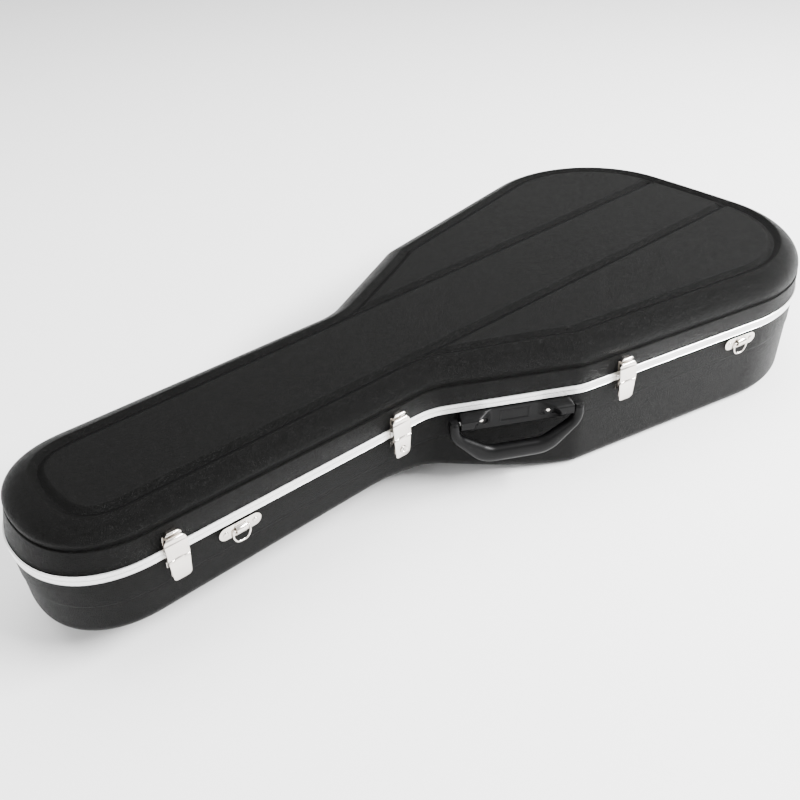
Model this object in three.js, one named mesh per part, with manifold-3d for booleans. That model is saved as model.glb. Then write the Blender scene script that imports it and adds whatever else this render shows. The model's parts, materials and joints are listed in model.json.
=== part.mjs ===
// Moulded hard case for an acoustic guitar. Millimetres, +Z up, lying on its base with the lid shut.
// Everything is drawn in the rim's own frame first: x runs from the neck end to the tail end, z = 0 is the
// plane in which lid and base part, and the latch side is -y. The whole case then moves up onto its floor.
import * as THREE from 'three';
import { mergeVertices } from 'three/addons/utils/BufferGeometryUtils.js';
import Module from 'manifold-3d';

const wasm = await Module();
wasm.setup();

// ---------------------------------------------------------------- driving dimensions
const LENGTH = 1090;
const SHELL_OUTLINE = {
  start: 0, end: LENGTH, neckReach: 100, neckHalf: 96.7, neckPower: 2.25,
  flareX: 448.4, flareHalf: 96.7, flareRadius: 74,
  boutX: 611, boutHalf: 183, boutRadius: 60,
  tailHalf: 279.5, tailRadius: 172, endRadius: 2980,
};
const CAVITY_OUTLINE = {
  start: 28, end: LENGTH - 26, neckReach: 52, neckHalf: 52, neckPower: 2.35,
  flareX: 472, flareHalf: 52, flareRadius: 80,
  boutX: 624, boutHalf: 150, boutRadius: 62,
  tailHalf: 244, tailRadius: 144, endRadius: 2980,
};
const BODY_DEPTH = 116; // rim plane to the floor
const LID_RISE = 63; // rim plane to the top of the border at the tail end
const TOP_SLOPE = 0.0097; // the lid's top falls this much for each mm towards the neck end
const NECK_LIFT = 40; // the underside of the neck stands this far above the floor
const LIFT_START = 365;
const LIFT_END = 612;
const SHELL_WALL = 3;
const GAP = 0.3;
const BASE_DRAFT = 4.5; // how far the base's walls lean in from rim to bottom radius
const BASE_RADIUS = 15;
const LID_BULGE = 0.8; // the lid's shoulder stands this far proud of its rim
const CREASE_Z = 27.5; // from here up the lid's wall swells to the shoulder
const SHOULDER_RISE = 22;
const SHOULDER_RUN = 33; // the shoulder reaches this far in from the lid's wall
const NECK_LEAN = 12; // and this much further at the neck end
const BORDER_STEP = 2; // the centre panel lies this far below the border
const BORDER_STEP_RUN = 5;
const BORDER_FLAT = 1;
const FLOOR_FOAM = 12;
const CEILING_FOAM = 9;
const LINING = 1.6;
const CAVITY_RADIUS = 16;
const CAVITY_DRAFT = 6;

const BAND_HALF = 5.6; // the bright strip reaches this far above and below the parting plane
const BAND_PROUD = 1.6;
const BAND_LEG = 7.5;
const SEAM = 0.15; // half the gap between the two strips
const RIM_EDGE = 3.2; // the shells' edges stop this far from the parting plane

const LATCH_X = [119.5, 400.5, 670.5];
const LATCH_NAMES = ['neck', 'waist', 'body'];
const LATCH_WIDTH = 25;
const LEVER_PIVOT = { out: 5.4, z: 1 };
const LINK_PIVOT = { out: 8.7, z: -6.5 };
const LEVER_PIN_R = 1.4;
const LINK_PIN_R = 1;
const PIN_PLAY = 0.35;
const LEVER_TIP_Z = -33.5;
const LOCK_Z = -22.5;
const LOCK_R = 4;

const HANDLE_X = 538;
const HANDLE_PLATE = { width: 136, height: 28, top: -7, thick: 3 };
const HANDLE_PIVOT = { out: 10, z: -16 };
const HANDLE_PIN_R = 2.5;
const GRIP_DROP = 59;
const GRIP_THICK = 13;
const STRIP_DEPTH = 5.4; // the backing strip's middle, behind the shell's face

const STRAP_X = [192, 858];
const STRAP_NAMES = ['neck', 'body'];
const STRAP_Z = -17;
const STRAP_BAR_OUT = 3.5; // the middle of the ring's bar inside its bridge

const HINGE_X = [665, 750, 835];
const HINGE_NAMES = ['front', 'middle', 'rear'];
const HINGE_WIDTH = 46;
const HINGE_OUT = 5.8; // the pins' line stands this far out at the rear hinge
const HINGE_LINE_SLOPE = 0.172; // and is a little less slanted than the wall, to pass outside the neck end
const HINGE_PIN_R = 1.5;
const KNUCKLE_R = 3.1;

const CRADLE_X = [404, 432];
const CRADLE_TOP = 6;
const POCKET_X = [176, 398];
const POCKET_LID_Z = -21;
const POCKET_HALF = 43;
const BOARD = 3;

// ---------------------------------------------------------------- materials
function finish(color, roughness, metalness) {
  return new THREE.MeshStandardMaterial({ color, roughness, metalness });
}
const ABS = finish(0x232323, 0.5, 0);
const MOULDED = finish(0x1c1c1c, 0.45, 0);
const PLUSH = finish(0x2e2f33, 0.95, 0);
const FOAM = finish(0x8a8a86, 0.9, 0);
const ALUMINIUM = finish(0xd9d9d6, 0.3, 1);
const NICKEL = finish(0xd8d2c8, 0.18, 1);
const STEEL = finish(0x9a9a98, 0.35, 1);
const RIBBON = finish(0x161616, 0.8, 0);

// ---------------------------------------------------------------- solids
function toManifold(geometry) {
  const bare = geometry.clone();
  bare.deleteAttribute('normal');
  bare.deleteAttribute('uv');
  const merged = mergeVertices(bare, 1e-4);
  return new wasm.Manifold(new wasm.Mesh({
    numProp: 3,
    vertProperties: new Float32Array(merged.attributes.position.array),
    triVerts: new Uint32Array(merged.index.array),
  }));
}

function toGeometry(solid) {
  const mesh = solid.getMesh();
  const geometry = new THREE.BufferGeometry();
  geometry.setAttribute('position', new THREE.BufferAttribute(new Float32Array(mesh.vertProperties), 3));
  geometry.setIndex(new THREE.BufferAttribute(new Uint32Array(mesh.triVerts), 1));
  return geometry;
}

const join = (...parts) => toGeometry(parts.map(toManifold).reduce((a, b) => a.add(b)));
const cut = (body, ...tools) =>
  toGeometry(tools.map(toManifold).reduce((a, b) => a.subtract(b), toManifold(body)));

function put(parent, name, geometry, material) {
  const mesh = new THREE.Mesh(geometry, material);
  mesh.name = name;
  parent.add(mesh);
  return mesh;
}

// ---------------------------------------------------------------- the case's outline
const smoothstep = (x, a, b) => THREE.MathUtils.smoothstep(x, a, b);

// An arc of a half outline that turns from heading a to heading b (radians), leaving the point p.
function turn(points, p, radius, a, b, steps) {
  const side = b > a ? 1 : -1;
  const cx = p.x - side * radius * Math.sin(a);
  const cy = p.y + side * radius * Math.cos(a);
  for (let k = 0; k <= steps; k++) {
    const h = a + ((b - a) * k) / steps;
    points.push({ x: cx + side * radius * Math.sin(h), y: cy - side * radius * Math.cos(h),
      nx: -Math.sin(h), ny: Math.cos(h) });
  }
}

// The half outline (y >= 0) from the neck end's middle to the tail end's middle, with outward normals.
function halfOutline(o) {
  const points = [];
  const power = 2 / o.neckPower;
  for (let k = 0; k <= 9; k++) {
    const t = (k / 9) * (Math.PI / 2);
    const c = Math.cos(t);
    const s = Math.sin(t);
    const gx = -Math.pow(c, 2 - power) / o.neckReach;
    const gy = Math.pow(s, 2 - power) / o.neckHalf;
    const g = Math.hypot(gx, gy);
    points.push({ x: o.start + o.neckReach * (1 - Math.pow(c, power)), y: o.neckHalf * Math.pow(s, power),
      nx: gx / g, ny: gy / g });
  }
  const neckX = o.start + o.neckReach;
  const neckHeading = Math.atan2(o.flareHalf - o.neckHalf, o.flareX - neckX);
  const flareHeading = Math.atan2(o.boutHalf - o.flareHalf, o.boutX - o.flareX);
  const bodyHeading = Math.atan2(o.tailHalf - o.boutHalf, o.end - o.boutX);
  const corner = (x, y, radius, a, b, steps) => {
    const reach = radius * Math.tan(Math.abs(b - a) / 2);
    turn(points, { x: x - reach * Math.cos(a), y: y - reach * Math.sin(a) }, radius, a, b, steps);
  };
  corner(o.flareX, o.flareHalf, o.flareRadius, neckHeading, flareHeading, 3);
  corner(o.boutX, o.boutHalf, o.boutRadius, flareHeading, bodyHeading, 3);
  // The tail corner touches the body's side and, from inside, the end's big arc.
  const far = o.end - o.endRadius;
  const vx = o.boutX + o.tailRadius * Math.sin(bodyHeading) - far;
  const vy = o.boutHalf - o.tailRadius * Math.cos(bodyHeading);
  const along = vx * Math.cos(bodyHeading) + vy * Math.sin(bodyHeading);
  const reach = -along + Math.sqrt(along ** 2 - vx ** 2 - vy ** 2 + (o.endRadius - o.tailRadius) ** 2);
  const cx = vx + reach * Math.cos(bodyHeading);
  const cy = vy + reach * Math.sin(bodyHeading);
  const endHeading = Math.atan2(cy, cx) - Math.PI / 2;
  const startX = o.boutX + reach * Math.cos(bodyHeading);
  const startY = o.boutHalf + reach * Math.sin(bodyHeading);
  turn(points, { x: startX, y: startY }, o.tailRadius, bodyHeading, endHeading, 7);
  points.push({ x: o.end, y: 0, nx: 1, ny: 0 });
  return points;
}

// The closed loop of an outline, anticlockwise from above, starting at the neck end's middle.
function loopOf(outline) {
  const half = halfOutline(outline);
  const near = half.map((p) => ({ ...p, y: -p.y, ny: -p.ny }));
  return near.concat(half.slice(1, -1).reverse());
}

const shellLoop = loopOf(SHELL_OUTLINE);
const cavityLoop = loopOf(CAVITY_OUTLINE);

// A ring of points: the loop moved in by inset, a number or a function of the loop's point, at heights
// given by a number or a function of x.
function ring(loop, inset, height) {
  return loop.map((p) => {
    const by = typeof inset === 'function' ? inset(p) : inset;
    const x = p.x - p.nx * by;
    return [x, p.y - p.ny * by, typeof height === 'function' ? height(x) : height];
  });
}

// ---------------------------------------------------------------- lofting rings into solids
// Each cap is a ladder of rungs from the near side to the far side, so it follows heights that vary with x.
function capTriangles(offset, count, up) {
  const triangles = [];
  const half = count / 2;
  const push = (a, b, c) => triangles.push(offset + a, offset + (up ? b : c), offset + (up ? c : b));
  push(0, 1, count - 1);
  for (let i = 1; i < half - 1; i++) {
    push(i, i + 1, count - i - 1);
    push(i, count - i - 1, count - i);
  }
  push(half - 1, half, half + 1);
  return triangles;
}

// A quad between two rings splits along the diagonal through its lowest ring's point of smaller x, so that
// nested surfaces split alike and keep their distance.
function splitsAtStart(a, b, c, d) {
  const low = a[2] + b[2] <= c[2] + d[2] ? [a, b] : [d, c];
  const start = low[0][0] <= low[1][0] ? low[0] : low[1];
  return start === a || start === c;
}

// Joins rings that go anticlockwise around the section: out, up, in, down.
function loft(rings, closed = false) {
  const count = rings[0].length;
  const points = rings.flat();
  const positions = points.flat();
  const triangles = [];
  const last = closed ? rings.length : rings.length - 1;
  for (let r = 0; r < last; r++) {
    const a = r * count;
    const b = ((r + 1) % rings.length) * count;
    for (let i = 0; i < count; i++) {
      const j = (i + 1) % count;
      if (splitsAtStart(points[a + i], points[a + j], points[b + j], points[b + i]))
        triangles.push(a + i, a + j, b + j, a + i, b + j, b + i);
      else triangles.push(a + i, a + j, b + i, a + j, b + j, b + i);
    }
  }
  if (!closed) {
    triangles.push(...capTriangles(0, count, false));
    triangles.push(...capTriangles((rings.length - 1) * count, count, true));
  }
  const geometry = new THREE.BufferGeometry();
  geometry.setAttribute('position', new THREE.BufferAttribute(new Float32Array(positions), 3));
  geometry.setIndex(triangles);
  return geometry;
}

// ---------------------------------------------------------------- shells, foam and lining
const floorZ = (x) => -BODY_DEPTH + NECK_LIFT * (1 - smoothstep(x, LIFT_START, LIFT_END));
const topZ = (x) => LID_RISE - TOP_SLOPE * (LENGTH - x);
const shoulderRun = (p) => SHOULDER_RUN + NECK_LEAN * Math.max(0, -p.nx) ** 2;

// Rings of a rounded edge, from the flat to the wall. Its run may be a function of the loop's point.
function roundedEdge(loop, inset, radius, steps, height, run = () => radius) {
  const rings = [];
  for (let k = 0; k <= steps; k++) {
    const t = (Math.PI / 2) * (1 - k / steps);
    const by = (p) => inset + run(p) * (1 - Math.cos(t));
    rings.push(ring(loop, by, (x) => height(x, radius * (1 - Math.sin(t)))));
  }
  return rings;
}

// The base's bowl moved in by g: floor edge, bottom radius, wall, rim.
function baseBowl(g, rimZ) {
  return [
    ...roundedEdge(shellLoop, BASE_DRAFT + g, BASE_RADIUS - g, 4, (x, rise) => floorZ(x) + g + rise),
    ring(shellLoop, g, rimZ),
  ];
}

// The lid's dome moved in by g, from the rim up to the border, which stays at least leastDrop below its top.
function lidDome(g, rimZ, leastDrop = 0) {
  const shoulder = roundedEdge(shellLoop, g - LID_BULGE, SHOULDER_RISE - g / 2, 5,
    (x, drop) => topZ(x) - g - Math.max(drop, leastDrop), (p) => shoulderRun(p) - g);
  return [ring(shellLoop, g, rimZ), ring(shellLoop, g, CREASE_Z - g / 3), ...shoulder.reverse()];
}

// The guitar's bowl moved out by g: its floor stands FLOOR_FOAM above the base's inside.
function cavityBowl(g, rimZ) {
  const lift = SHELL_WALL + FLOOR_FOAM + LINING - g;
  return [
    ...roundedEdge(cavityLoop, CAVITY_DRAFT - g, CAVITY_RADIUS, 3, (x, rise) => floorZ(x) + lift + rise),
    ring(cavityLoop, -g, rimZ),
  ];
}

function cavityDome(g, rimZ) {
  const drop = BORDER_STEP + SHELL_WALL + CEILING_FOAM + LINING - g;
  const edge = roundedEdge(cavityLoop, 4 - g, 26, 3, (x, rise) => topZ(x) - drop - rise);
  return [ring(cavityLoop, -g, rimZ), ...edge.reverse()];
}

const reversed = (rings) => [...rings].reverse();

function addShells(parent) {
  const borderInset = (p) => shoulderRun(p) + BORDER_FLAT;
  const panelInset = (p) => borderInset(p) + BORDER_STEP_RUN;
  const border = [
    ring(shellLoop, borderInset, topZ),
    ring(shellLoop, panelInset, (x) => topZ(x) - BORDER_STEP),
  ];
  const under = [
    ring(shellLoop, panelInset, (x) => topZ(x) - BORDER_STEP - SHELL_WALL),
    ring(shellLoop, borderInset, (x) => topZ(x) - SHELL_WALL),
  ];
  put(parent, 'base_shell',
    loft([...baseBowl(0, -RIM_EDGE), ...reversed(baseBowl(SHELL_WALL, -RIM_EDGE))]), ABS);
  put(parent, 'lid_shell',
    loft([...under, ...reversed(lidDome(SHELL_WALL, RIM_EDGE)), ...lidDome(0, RIM_EDGE), ...border]), ABS);
}

function addInside(parent) {
  const g = SHELL_WALL + GAP;
  const baseFoam = loft([...baseBowl(g, -RIM_EDGE), ...reversed(cavityBowl(LINING + GAP, -RIM_EDGE))]);
  put(parent, 'base_foam', cut(baseFoam, stripRecess()), FOAM);
  put(parent, 'base_lining',
    loft([...cavityBowl(LINING, -RIM_EDGE), ...reversed(cavityBowl(0, -RIM_EDGE))]), PLUSH);
  put(parent, 'lid_foam',
    loft([...reversed(cavityDome(LINING + GAP, RIM_EDGE)), ...lidDome(g, RIM_EDGE, BORDER_STEP)]), FOAM);
  put(parent, 'lid_lining',
    loft([...reversed(cavityDome(0, RIM_EDGE)), ...cavityDome(LINING, RIM_EDGE)]), PLUSH);
}

// ---------------------------------------------------------------- the aluminium strips
// Sections as [outset, z], anticlockwise. The base strip carries the groove, the lid strip the tongue.
function addStrips(parent) {
  const lip = RIM_EDGE - GAP;
  const sweep = (section) => loft(section.map(([out, z]) => ring(shellLoop, -out, z)), true);
  put(parent, 'base_valance', sweep([
    [GAP, -BAND_HALF], [BAND_PROUD, -BAND_HALF], [BAND_PROUD, -SEAM], [-2, -SEAM], [-2, -2], [-6, -2],
    [-6, -SEAM], [-BAND_LEG, -SEAM], [-BAND_LEG, -lip], [GAP, -lip],
  ]), ALUMINIUM);
  put(parent, 'lid_valance', sweep([
    [-BAND_LEG, SEAM], [-4, SEAM], [-4, -1.6], [-2.4, -1.6], [-2.4, SEAM], [BAND_PROUD, SEAM],
    [BAND_PROUD, BAND_HALF], [GAP, BAND_HALF], [GAP, lip], [-BAND_LEG, lip],
  ]), ALUMINIUM);
}

// ---------------------------------------------------------------- hardware on the rim
// The wall of the half outline at x: its distance from the middle plane and its heading.
function wallAt(x) {
  const half = halfOutline(SHELL_OUTLINE);
  const i = half.findIndex((p, k) => k > 0 && p.x >= x);
  const a = half[i - 1];
  const b = half[i];
  const y = THREE.MathUtils.mapLinear(x, a.x, b.x, a.y, b.y);
  return { y, heading: Math.atan2(b.y - a.y, b.x - a.x) };
}

// A local frame on the wall at rim height: local x runs along the wall, -y is out, z is up.
function wallFrame(parent, x, far = false) {
  const { y, heading } = wallAt(x);
  const frame = new THREE.Group();
  frame.position.set(x, far ? y : -y, 0);
  frame.rotation.z = far ? Math.PI + heading : -heading;
  parent.add(frame);
  return frame;
}

const draftAt = (x) => BASE_DRAFT / (-RIM_EDGE - floorZ(x) - BASE_RADIUS);

// The same frame, started at the shell's edge and leaning with the base's wall.
function leaningFrame(parent, x) {
  const leaning = new THREE.Group();
  leaning.position.set(0, 0, -RIM_EDGE);
  leaning.rotation.x = Math.atan(draftAt(x));
  wallFrame(parent, x).add(leaning);
  return leaning;
}

// A closed section of [out, z] points, drawn along the wall, with its middle at the given place along.
function section(points, width, along = 0, holes = []) {
  const shape = new THREE.Shape(points.map(([out, z]) => new THREE.Vector2(out, z)));
  for (const h of holes) shape.holes.push(new THREE.Path().absarc(h.out, h.z, h.r, 0, Math.PI * 2, true));
  const geometry = new THREE.ExtrudeGeometry(shape, { depth: width, bevelEnabled: false, curveSegments: 8 });
  const turnIn = new THREE.Matrix4().makeBasis(
    new THREE.Vector3(0, -1, 0), new THREE.Vector3(0, 0, 1), new THREE.Vector3(-1, 0, 0));
  geometry.applyMatrix4(turnIn);
  return geometry.translate(along + width / 2, 0, 0);
}

// A flat plate of [along, z] points lying on the wall, from out to out + thick.
function plate(points, out, thick, holes = []) {
  const shape = new THREE.Shape(points.map(([along, z]) => new THREE.Vector2(along, z)));
  for (const h of holes) shape.holes.push(new THREE.Path().absarc(h.along, h.z, h.r, 0, Math.PI * 2, true));
  const geometry = new THREE.ExtrudeGeometry(shape, { depth: thick, bevelEnabled: false, curveSegments: 8 });
  return geometry.rotateX(Math.PI / 2).translate(0, -out, 0);
}

function rod(radius, length, out, z, along = 0, sides = 10) {
  const geometry = new THREE.CylinderGeometry(radius, radius, length, sides);
  return geometry.rotateZ(Math.PI / 2).translate(along, -out, z);
}

function slab(alongSize, outSize, height, along, out, z) {
  return new THREE.BoxGeometry(alongSize, outSize, height).translate(along, -out, z);
}

// A disc facing out of the wall.
function stud(radius, thick, out, along, z, sides = 12) {
  const geometry = new THREE.CylinderGeometry(radius, radius, thick, sides);
  return geometry.translate(along, -(out + thick / 2), z);
}

// Points of a circle's arc in [u, v], from angle a to b in degrees.
function arc(u, v, r, a, b, steps) {
  return Array.from({ length: steps + 1 }, (_, k) => {
    const t = THREE.MathUtils.degToRad(a + ((b - a) * k) / steps);
    return [u + r * Math.cos(t), v + r * Math.sin(t)];
  });
}

// ---------------------------------------------------------------- latches
// The section of a small hinge barrel with its root, which runs up (1) or down (-1) into its plate.
function barrelOutline(out, z, up) {
  const round = arc(out, z, 1.9, up > 0 ? 150 : -30, up > 0 ? 390 : 210, 9);
  const root = [[out + 0.7, z + up * 3], [out - 0.7, z + up * 3]];
  return up > 0 ? [...round, ...root] : [...round, ...root.reverse()];
}

function addLatch(parent, x, name, locked) {
  const frame = wallFrame(parent, x);
  const lean = draftAt(x);
  const w = LATCH_WIDTH / 2;
  const P = LEVER_PIVOT;
  const Q = LINK_PIVOT;

  // Base plate: over the strip, down the leaning wall, with an ear at each side for the lever pin.
  const faceAt = (z) => GAP + 0.1 + lean * (z + RIM_EDGE);
  const strip = section([
    [faceAt(-20), -20], [faceAt(-20) + 1.2, -20], [faceAt(-7) + 1.2, -8], [BAND_PROUD + 1, -6.5],
    [BAND_PROUD + 1, -1], [BAND_PROUD + GAP, -1], [BAND_PROUD + GAP, -6], [faceAt(-7), -6],
  ], LATCH_WIDTH - 1);
  const ear = (side) => section([
    [1, -11], [P.out, -11], ...arc(P.out, P.z, 2.4, -60, 90, 5), [2.2, P.z + 2.4], [2.2, -7], [1, -8],
  ], 1.4, side * (w - 1.2), [{ out: P.out, z: P.z, r: LEVER_PIN_R + PIN_PLAY }]);
  put(frame, `latch_plate_${name}`, join(strip, ear(-1), ear(1)), NICKEL);
  put(frame, `latch_lever_pin_${name}`, rod(LEVER_PIN_R, LATCH_WIDTH - 0.6, P.out, P.z), STEEL);

  // Lever: the tab, two outer knuckles on the link pin and two arms to the lever pin.
  const tab = plate([
    [-w, Q.z - 2.4], [-w + 1.5, LEVER_TIP_Z + 5], [-w + 4, LEVER_TIP_Z + 1], [-w + 7, LEVER_TIP_Z],
    [w - 7, LEVER_TIP_Z], [w - 4, LEVER_TIP_Z + 1], [w - 1.5, LEVER_TIP_Z + 5], [w, Q.z - 2.4],
  ], 8, 1.4, locked ? [{ along: 0, z: LOCK_Z, r: LOCK_R + PIN_PLAY }] : []);
  const arm = (side) => section([
    [P.out - 1.5, P.z - 2], [6.5, Q.z - 9], [8.2, Q.z - 9], [8.2, Q.z], [7.4, Q.z + 3],
    ...arc(P.out, P.z, 2.4, 10, 215, 8),
  ], 1.4, side * (w - 3.2), [{ out: P.out, z: P.z, r: LEVER_PIN_R + PIN_PLAY }]);
  const knuckle = (side) => section(barrelOutline(Q.out, Q.z, -1), 6.4, side * (w - 3.9));
  const bore = rod(LINK_PIN_R + PIN_PLAY, LATCH_WIDTH + 4, Q.out, Q.z);
  const lever = join(tab, arm(-1), arm(1), knuckle(-1), knuckle(1));
  put(frame, `latch_lever_${name}`, cut(lever, bore), NICKEL);
  put(frame, `latch_link_pin_${name}`, rod(LINK_PIN_R, LATCH_WIDTH - 1.5, Q.out, Q.z), STEEL);

  // Link: the bent plate over the strip, its middle knuckle on the link pin and its rolled top.
  const bent = section([
    [8, Q.z + 2.4], [9.4, Q.z + 2.4], [9.4, 9], [7.6, 15], [6.6, 18.2], [4.2, 18.6], [3.6, 16.6],
    [5.2, 16.2], [6.2, 14.4], [8, 8.4],
  ], LATCH_WIDTH);
  const middle = section(barrelOutline(Q.out, Q.z, 1), 10.4);
  put(frame, `latch_link_${name}`, cut(join(bent, middle), bore), NICKEL);

  // Keeper on the lid: a plate with its top edge rolled out over the link's end.
  put(frame, `latch_keeper_${name}`, section([
    [GAP, 7], [1.5, 7], [1.5, 20], [2.4, 20.4], [4.6, 20.4], [5, 22.4], [3.4, 24], [GAP, 24],
  ], LATCH_WIDTH - 3), NICKEL);

  if (locked) addLock(frame);
}

function addLock(frame) {
  put(frame, 'lock_plug', stud(LOCK_R, 2.2, 7.6, 0, LOCK_Z), NICKEL);
  put(frame, 'lock_cam', slab(3.4, 1.2, 11, 0, 6.7, LOCK_Z + 2.2), STEEL);
}

// ---------------------------------------------------------------- handle
// The room for the backing strip behind the handle, in the case's frame.
function stripRecess() {
  const leaning = leaningFrame(new THREE.Group(), HANDLE_X);
  const z = HANDLE_PLATE.top - HANDLE_PLATE.height / 2 + RIM_EDGE;
  leaning.parent.updateMatrixWorld(true);
  return slab(HANDLE_PLATE.width - 32, 6, 22, 0, -STRIP_DEPTH, z).applyMatrix4(leaning.matrixWorld);
}

function addHandle(parent) {
  const leaning = leaningFrame(parent, HANDLE_X);
  const { width, height, top, thick } = HANDLE_PLATE;
  const w = width / 2;
  const z = HANDLE_PIVOT.z + RIM_EDGE;
  const upper = top + RIM_EDGE;
  const lower = upper - height;
  const rivetAlong = w - 27;
  const rivetZ = upper - height / 2;

  const holes = [-1, 1].map((s) => ({ along: s * rivetAlong, z: rivetZ, r: 3.2 }));
  const back = plate([
    [-w, upper - 5], [-w, lower + 8], [-w + 8, lower], [w - 8, lower], [w, lower + 8], [w, upper - 5],
    [w - 5, upper], [-w + 5, upper],
  ], GAP, thick, holes);
  const pivotOut = HANDLE_PIVOT.out;
  const lug = (s) => section([
    [thick - 1, z - 8], [pivotOut, z - 6], ...arc(pivotOut, z, 6, -60, 90, 5), [thick - 1, z + 8],
  ], 7, s * (w - 3.5), [{ out: pivotOut, z, r: HANDLE_PIN_R + PIN_PLAY }]);
  put(leaning, 'handle_plate', join(back, lug(-1), lug(1)), MOULDED);

  for (const [s, name] of [[-1, 'left'], [1, 'right']]) {
    put(leaning, `handle_rivet_${name}`, join(
      stud(2.6, thick + 0.4, GAP, s * rivetAlong, rivetZ),
      stud(4.6, 1.6, GAP + thick + 0.3, s * rivetAlong, rivetZ),
    ), NICKEL);
    put(leaning, `handle_pin_${name}`, rod(HANDLE_PIN_R, 17, pivotOut, z, s * (w + 2)), STEEL);
  }

  // Grip: a trapezoid bail that hangs from the pins beside the plate; its ends stay close to the pins.
  const low = z - GRIP_DROP;
  const outer = [[w + 9, z + 5], [w + 12, z + 2], [w + 12, z - 12], [w - 18, low + 7], [w - 35, low]];
  const inner = [[w - 35, low + 20], [w + 0.6, z - 14], [w + 0.6, z + 5]];
  const mirrored = (points) => points.map(([along, up]) => [-along, up]).reverse();
  const bail = plate([...outer, ...mirrored(outer), ...mirrored(inner), ...inner],
    pivotOut - 4.5, GRIP_THICK);
  const pinBore = rod(HANDLE_PIN_R + PIN_PLAY, width + 40, pivotOut, z);
  put(leaning, 'handle_grip', cut(bail, pinBore), MOULDED);

  put(leaning, 'handle_backing_strip',
    slab(width - 34, 1.6, 20, 0, -STRIP_DEPTH, rivetZ), STEEL);
}

// ---------------------------------------------------------------- strap rings
function addStrapRing(parent, x, name) {
  const frame = leaningFrame(parent, x);
  const z = STRAP_Z + RIM_EDGE;
  const oblong = [...arc(17, z, 8, -90, 90, 6), ...arc(-17, z, 8, 90, 270, 6)];
  const bridge = section([...arc(1.6, z, 5.2, -88, 88, 8), ...arc(1.6, z, 3.6, 88, -88, 8)], 15);
  put(frame, `strap_bracket_${name}`, join(plate(oblong, GAP, 1.5), bridge), NICKEL);
  const dee = (half, top, bottom, taper) => [
    [-half, top], [-half, top - taper], [-half * 0.66, bottom],
    [half * 0.66, bottom], [half, top - taper], [half, top],
  ];
  const body = plate(dee(11, z + 1.1, z - 18, 11), STRAP_BAR_OUT - 1.1, 2.2);
  const hole = plate(dee(8.6, z - 1.1, z - 15.6, 8), 1, 6);
  put(frame, `strap_ring_${name}`, cut(body, hole), NICKEL);
}

// ---------------------------------------------------------------- hinges on the far side
// How far the pins' line stands out from the wall at x, and how far it turns from the wall's heading there.
function hingeLine(x) {
  const rear = wallAt(HINGE_X.at(-1));
  const wall = wallAt(x);
  const lineY = rear.y + HINGE_OUT / Math.cos(rear.heading) + (x - HINGE_X.at(-1)) * HINGE_LINE_SLOPE;
  const out = (lineY - wall.y) / (Math.cos(wall.heading) + HINGE_LINE_SLOPE * Math.sin(wall.heading));
  return { out, turnBy: Math.atan(HINGE_LINE_SLOPE) - wall.heading };
}

function addHinge(parent, x, name) {
  const frame = wallFrame(parent, x, true);
  const lean = draftAt(x);
  const third = HINGE_WIDTH / 3;
  const back = BAND_PROUD + GAP;
  const { out, turnBy } = hingeLine(x);
  const line = new THREE.Group();
  line.position.set(0, -out, 0);
  line.rotation.z = turnBy;
  line.updateMatrix();
  frame.add(line);
  const onLine = (geometry) => geometry.applyMatrix4(line.matrix);
  const barrel = (along) => onLine(section(arc(0, 0, KNUCKLE_R, 0, 330, 11), third - 0.6, along));
  const bore = onLine(rod(HINGE_PIN_R + PIN_PLAY, HINGE_WIDTH + 4, 0, 0));

  const faceAt = (z) => GAP + 0.1 + lean * (z + RIM_EDGE);
  const lower = section([
    [faceAt(-30), -30], [faceAt(-30) + 1.4, -30], [faceAt(-8) + 1.4, -8.5], [back + 1.4, -6.5],
    [back + 1.4, -3.6], [back, -3.6], [back, -5.9], [faceAt(-8), -5.9],
  ], HINGE_WIDTH);
  const lowerRoot = section([[back, -5], [back + 1.4, -5], [out, -2.6], [out - 1, -1.9], [back, -3.2]],
    third - 1);
  put(frame, `hinge_base_leaf_${name}`, cut(join(lower, lowerRoot, barrel(0)), bore), NICKEL);
  put(line, `hinge_pin_${name}`, rod(HINGE_PIN_R, HINGE_WIDTH, 0, 0), STEEL);

  const upper = section([
    [back, 3.6], [back + 1.4, 3.6], [back + 1.4, 6.5], [GAP + 1.5, 8.5], [GAP + 1.5, 22], [GAP + 0.1, 22],
    [GAP + 0.1, 5.9], [back, 5.9],
  ], HINGE_WIDTH);
  const upperRoot = (s) => section([[back, 3.2], [out - 1, 1.9], [out, 2.6], [back + 1.4, 5], [back, 5]],
    third - 1, s * third);
  const sides = [-1, 1].flatMap((s) => [upperRoot(s), barrel(s * third)]);
  put(frame, `hinge_lid_leaf_${name}`, cut(join(upper, ...sides), bore), NICKEL);
}

// ---------------------------------------------------------------- neck cradle and accessory pocket
function box(x0, x1, y0, y1, z0, z1) {
  const geometry = new THREE.BoxGeometry(x1 - x0, y1 - y0, z1 - z0);
  return geometry.translate((x0 + x1) / 2, (y0 + y1) / 2, (z0 + z1) / 2);
}

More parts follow.
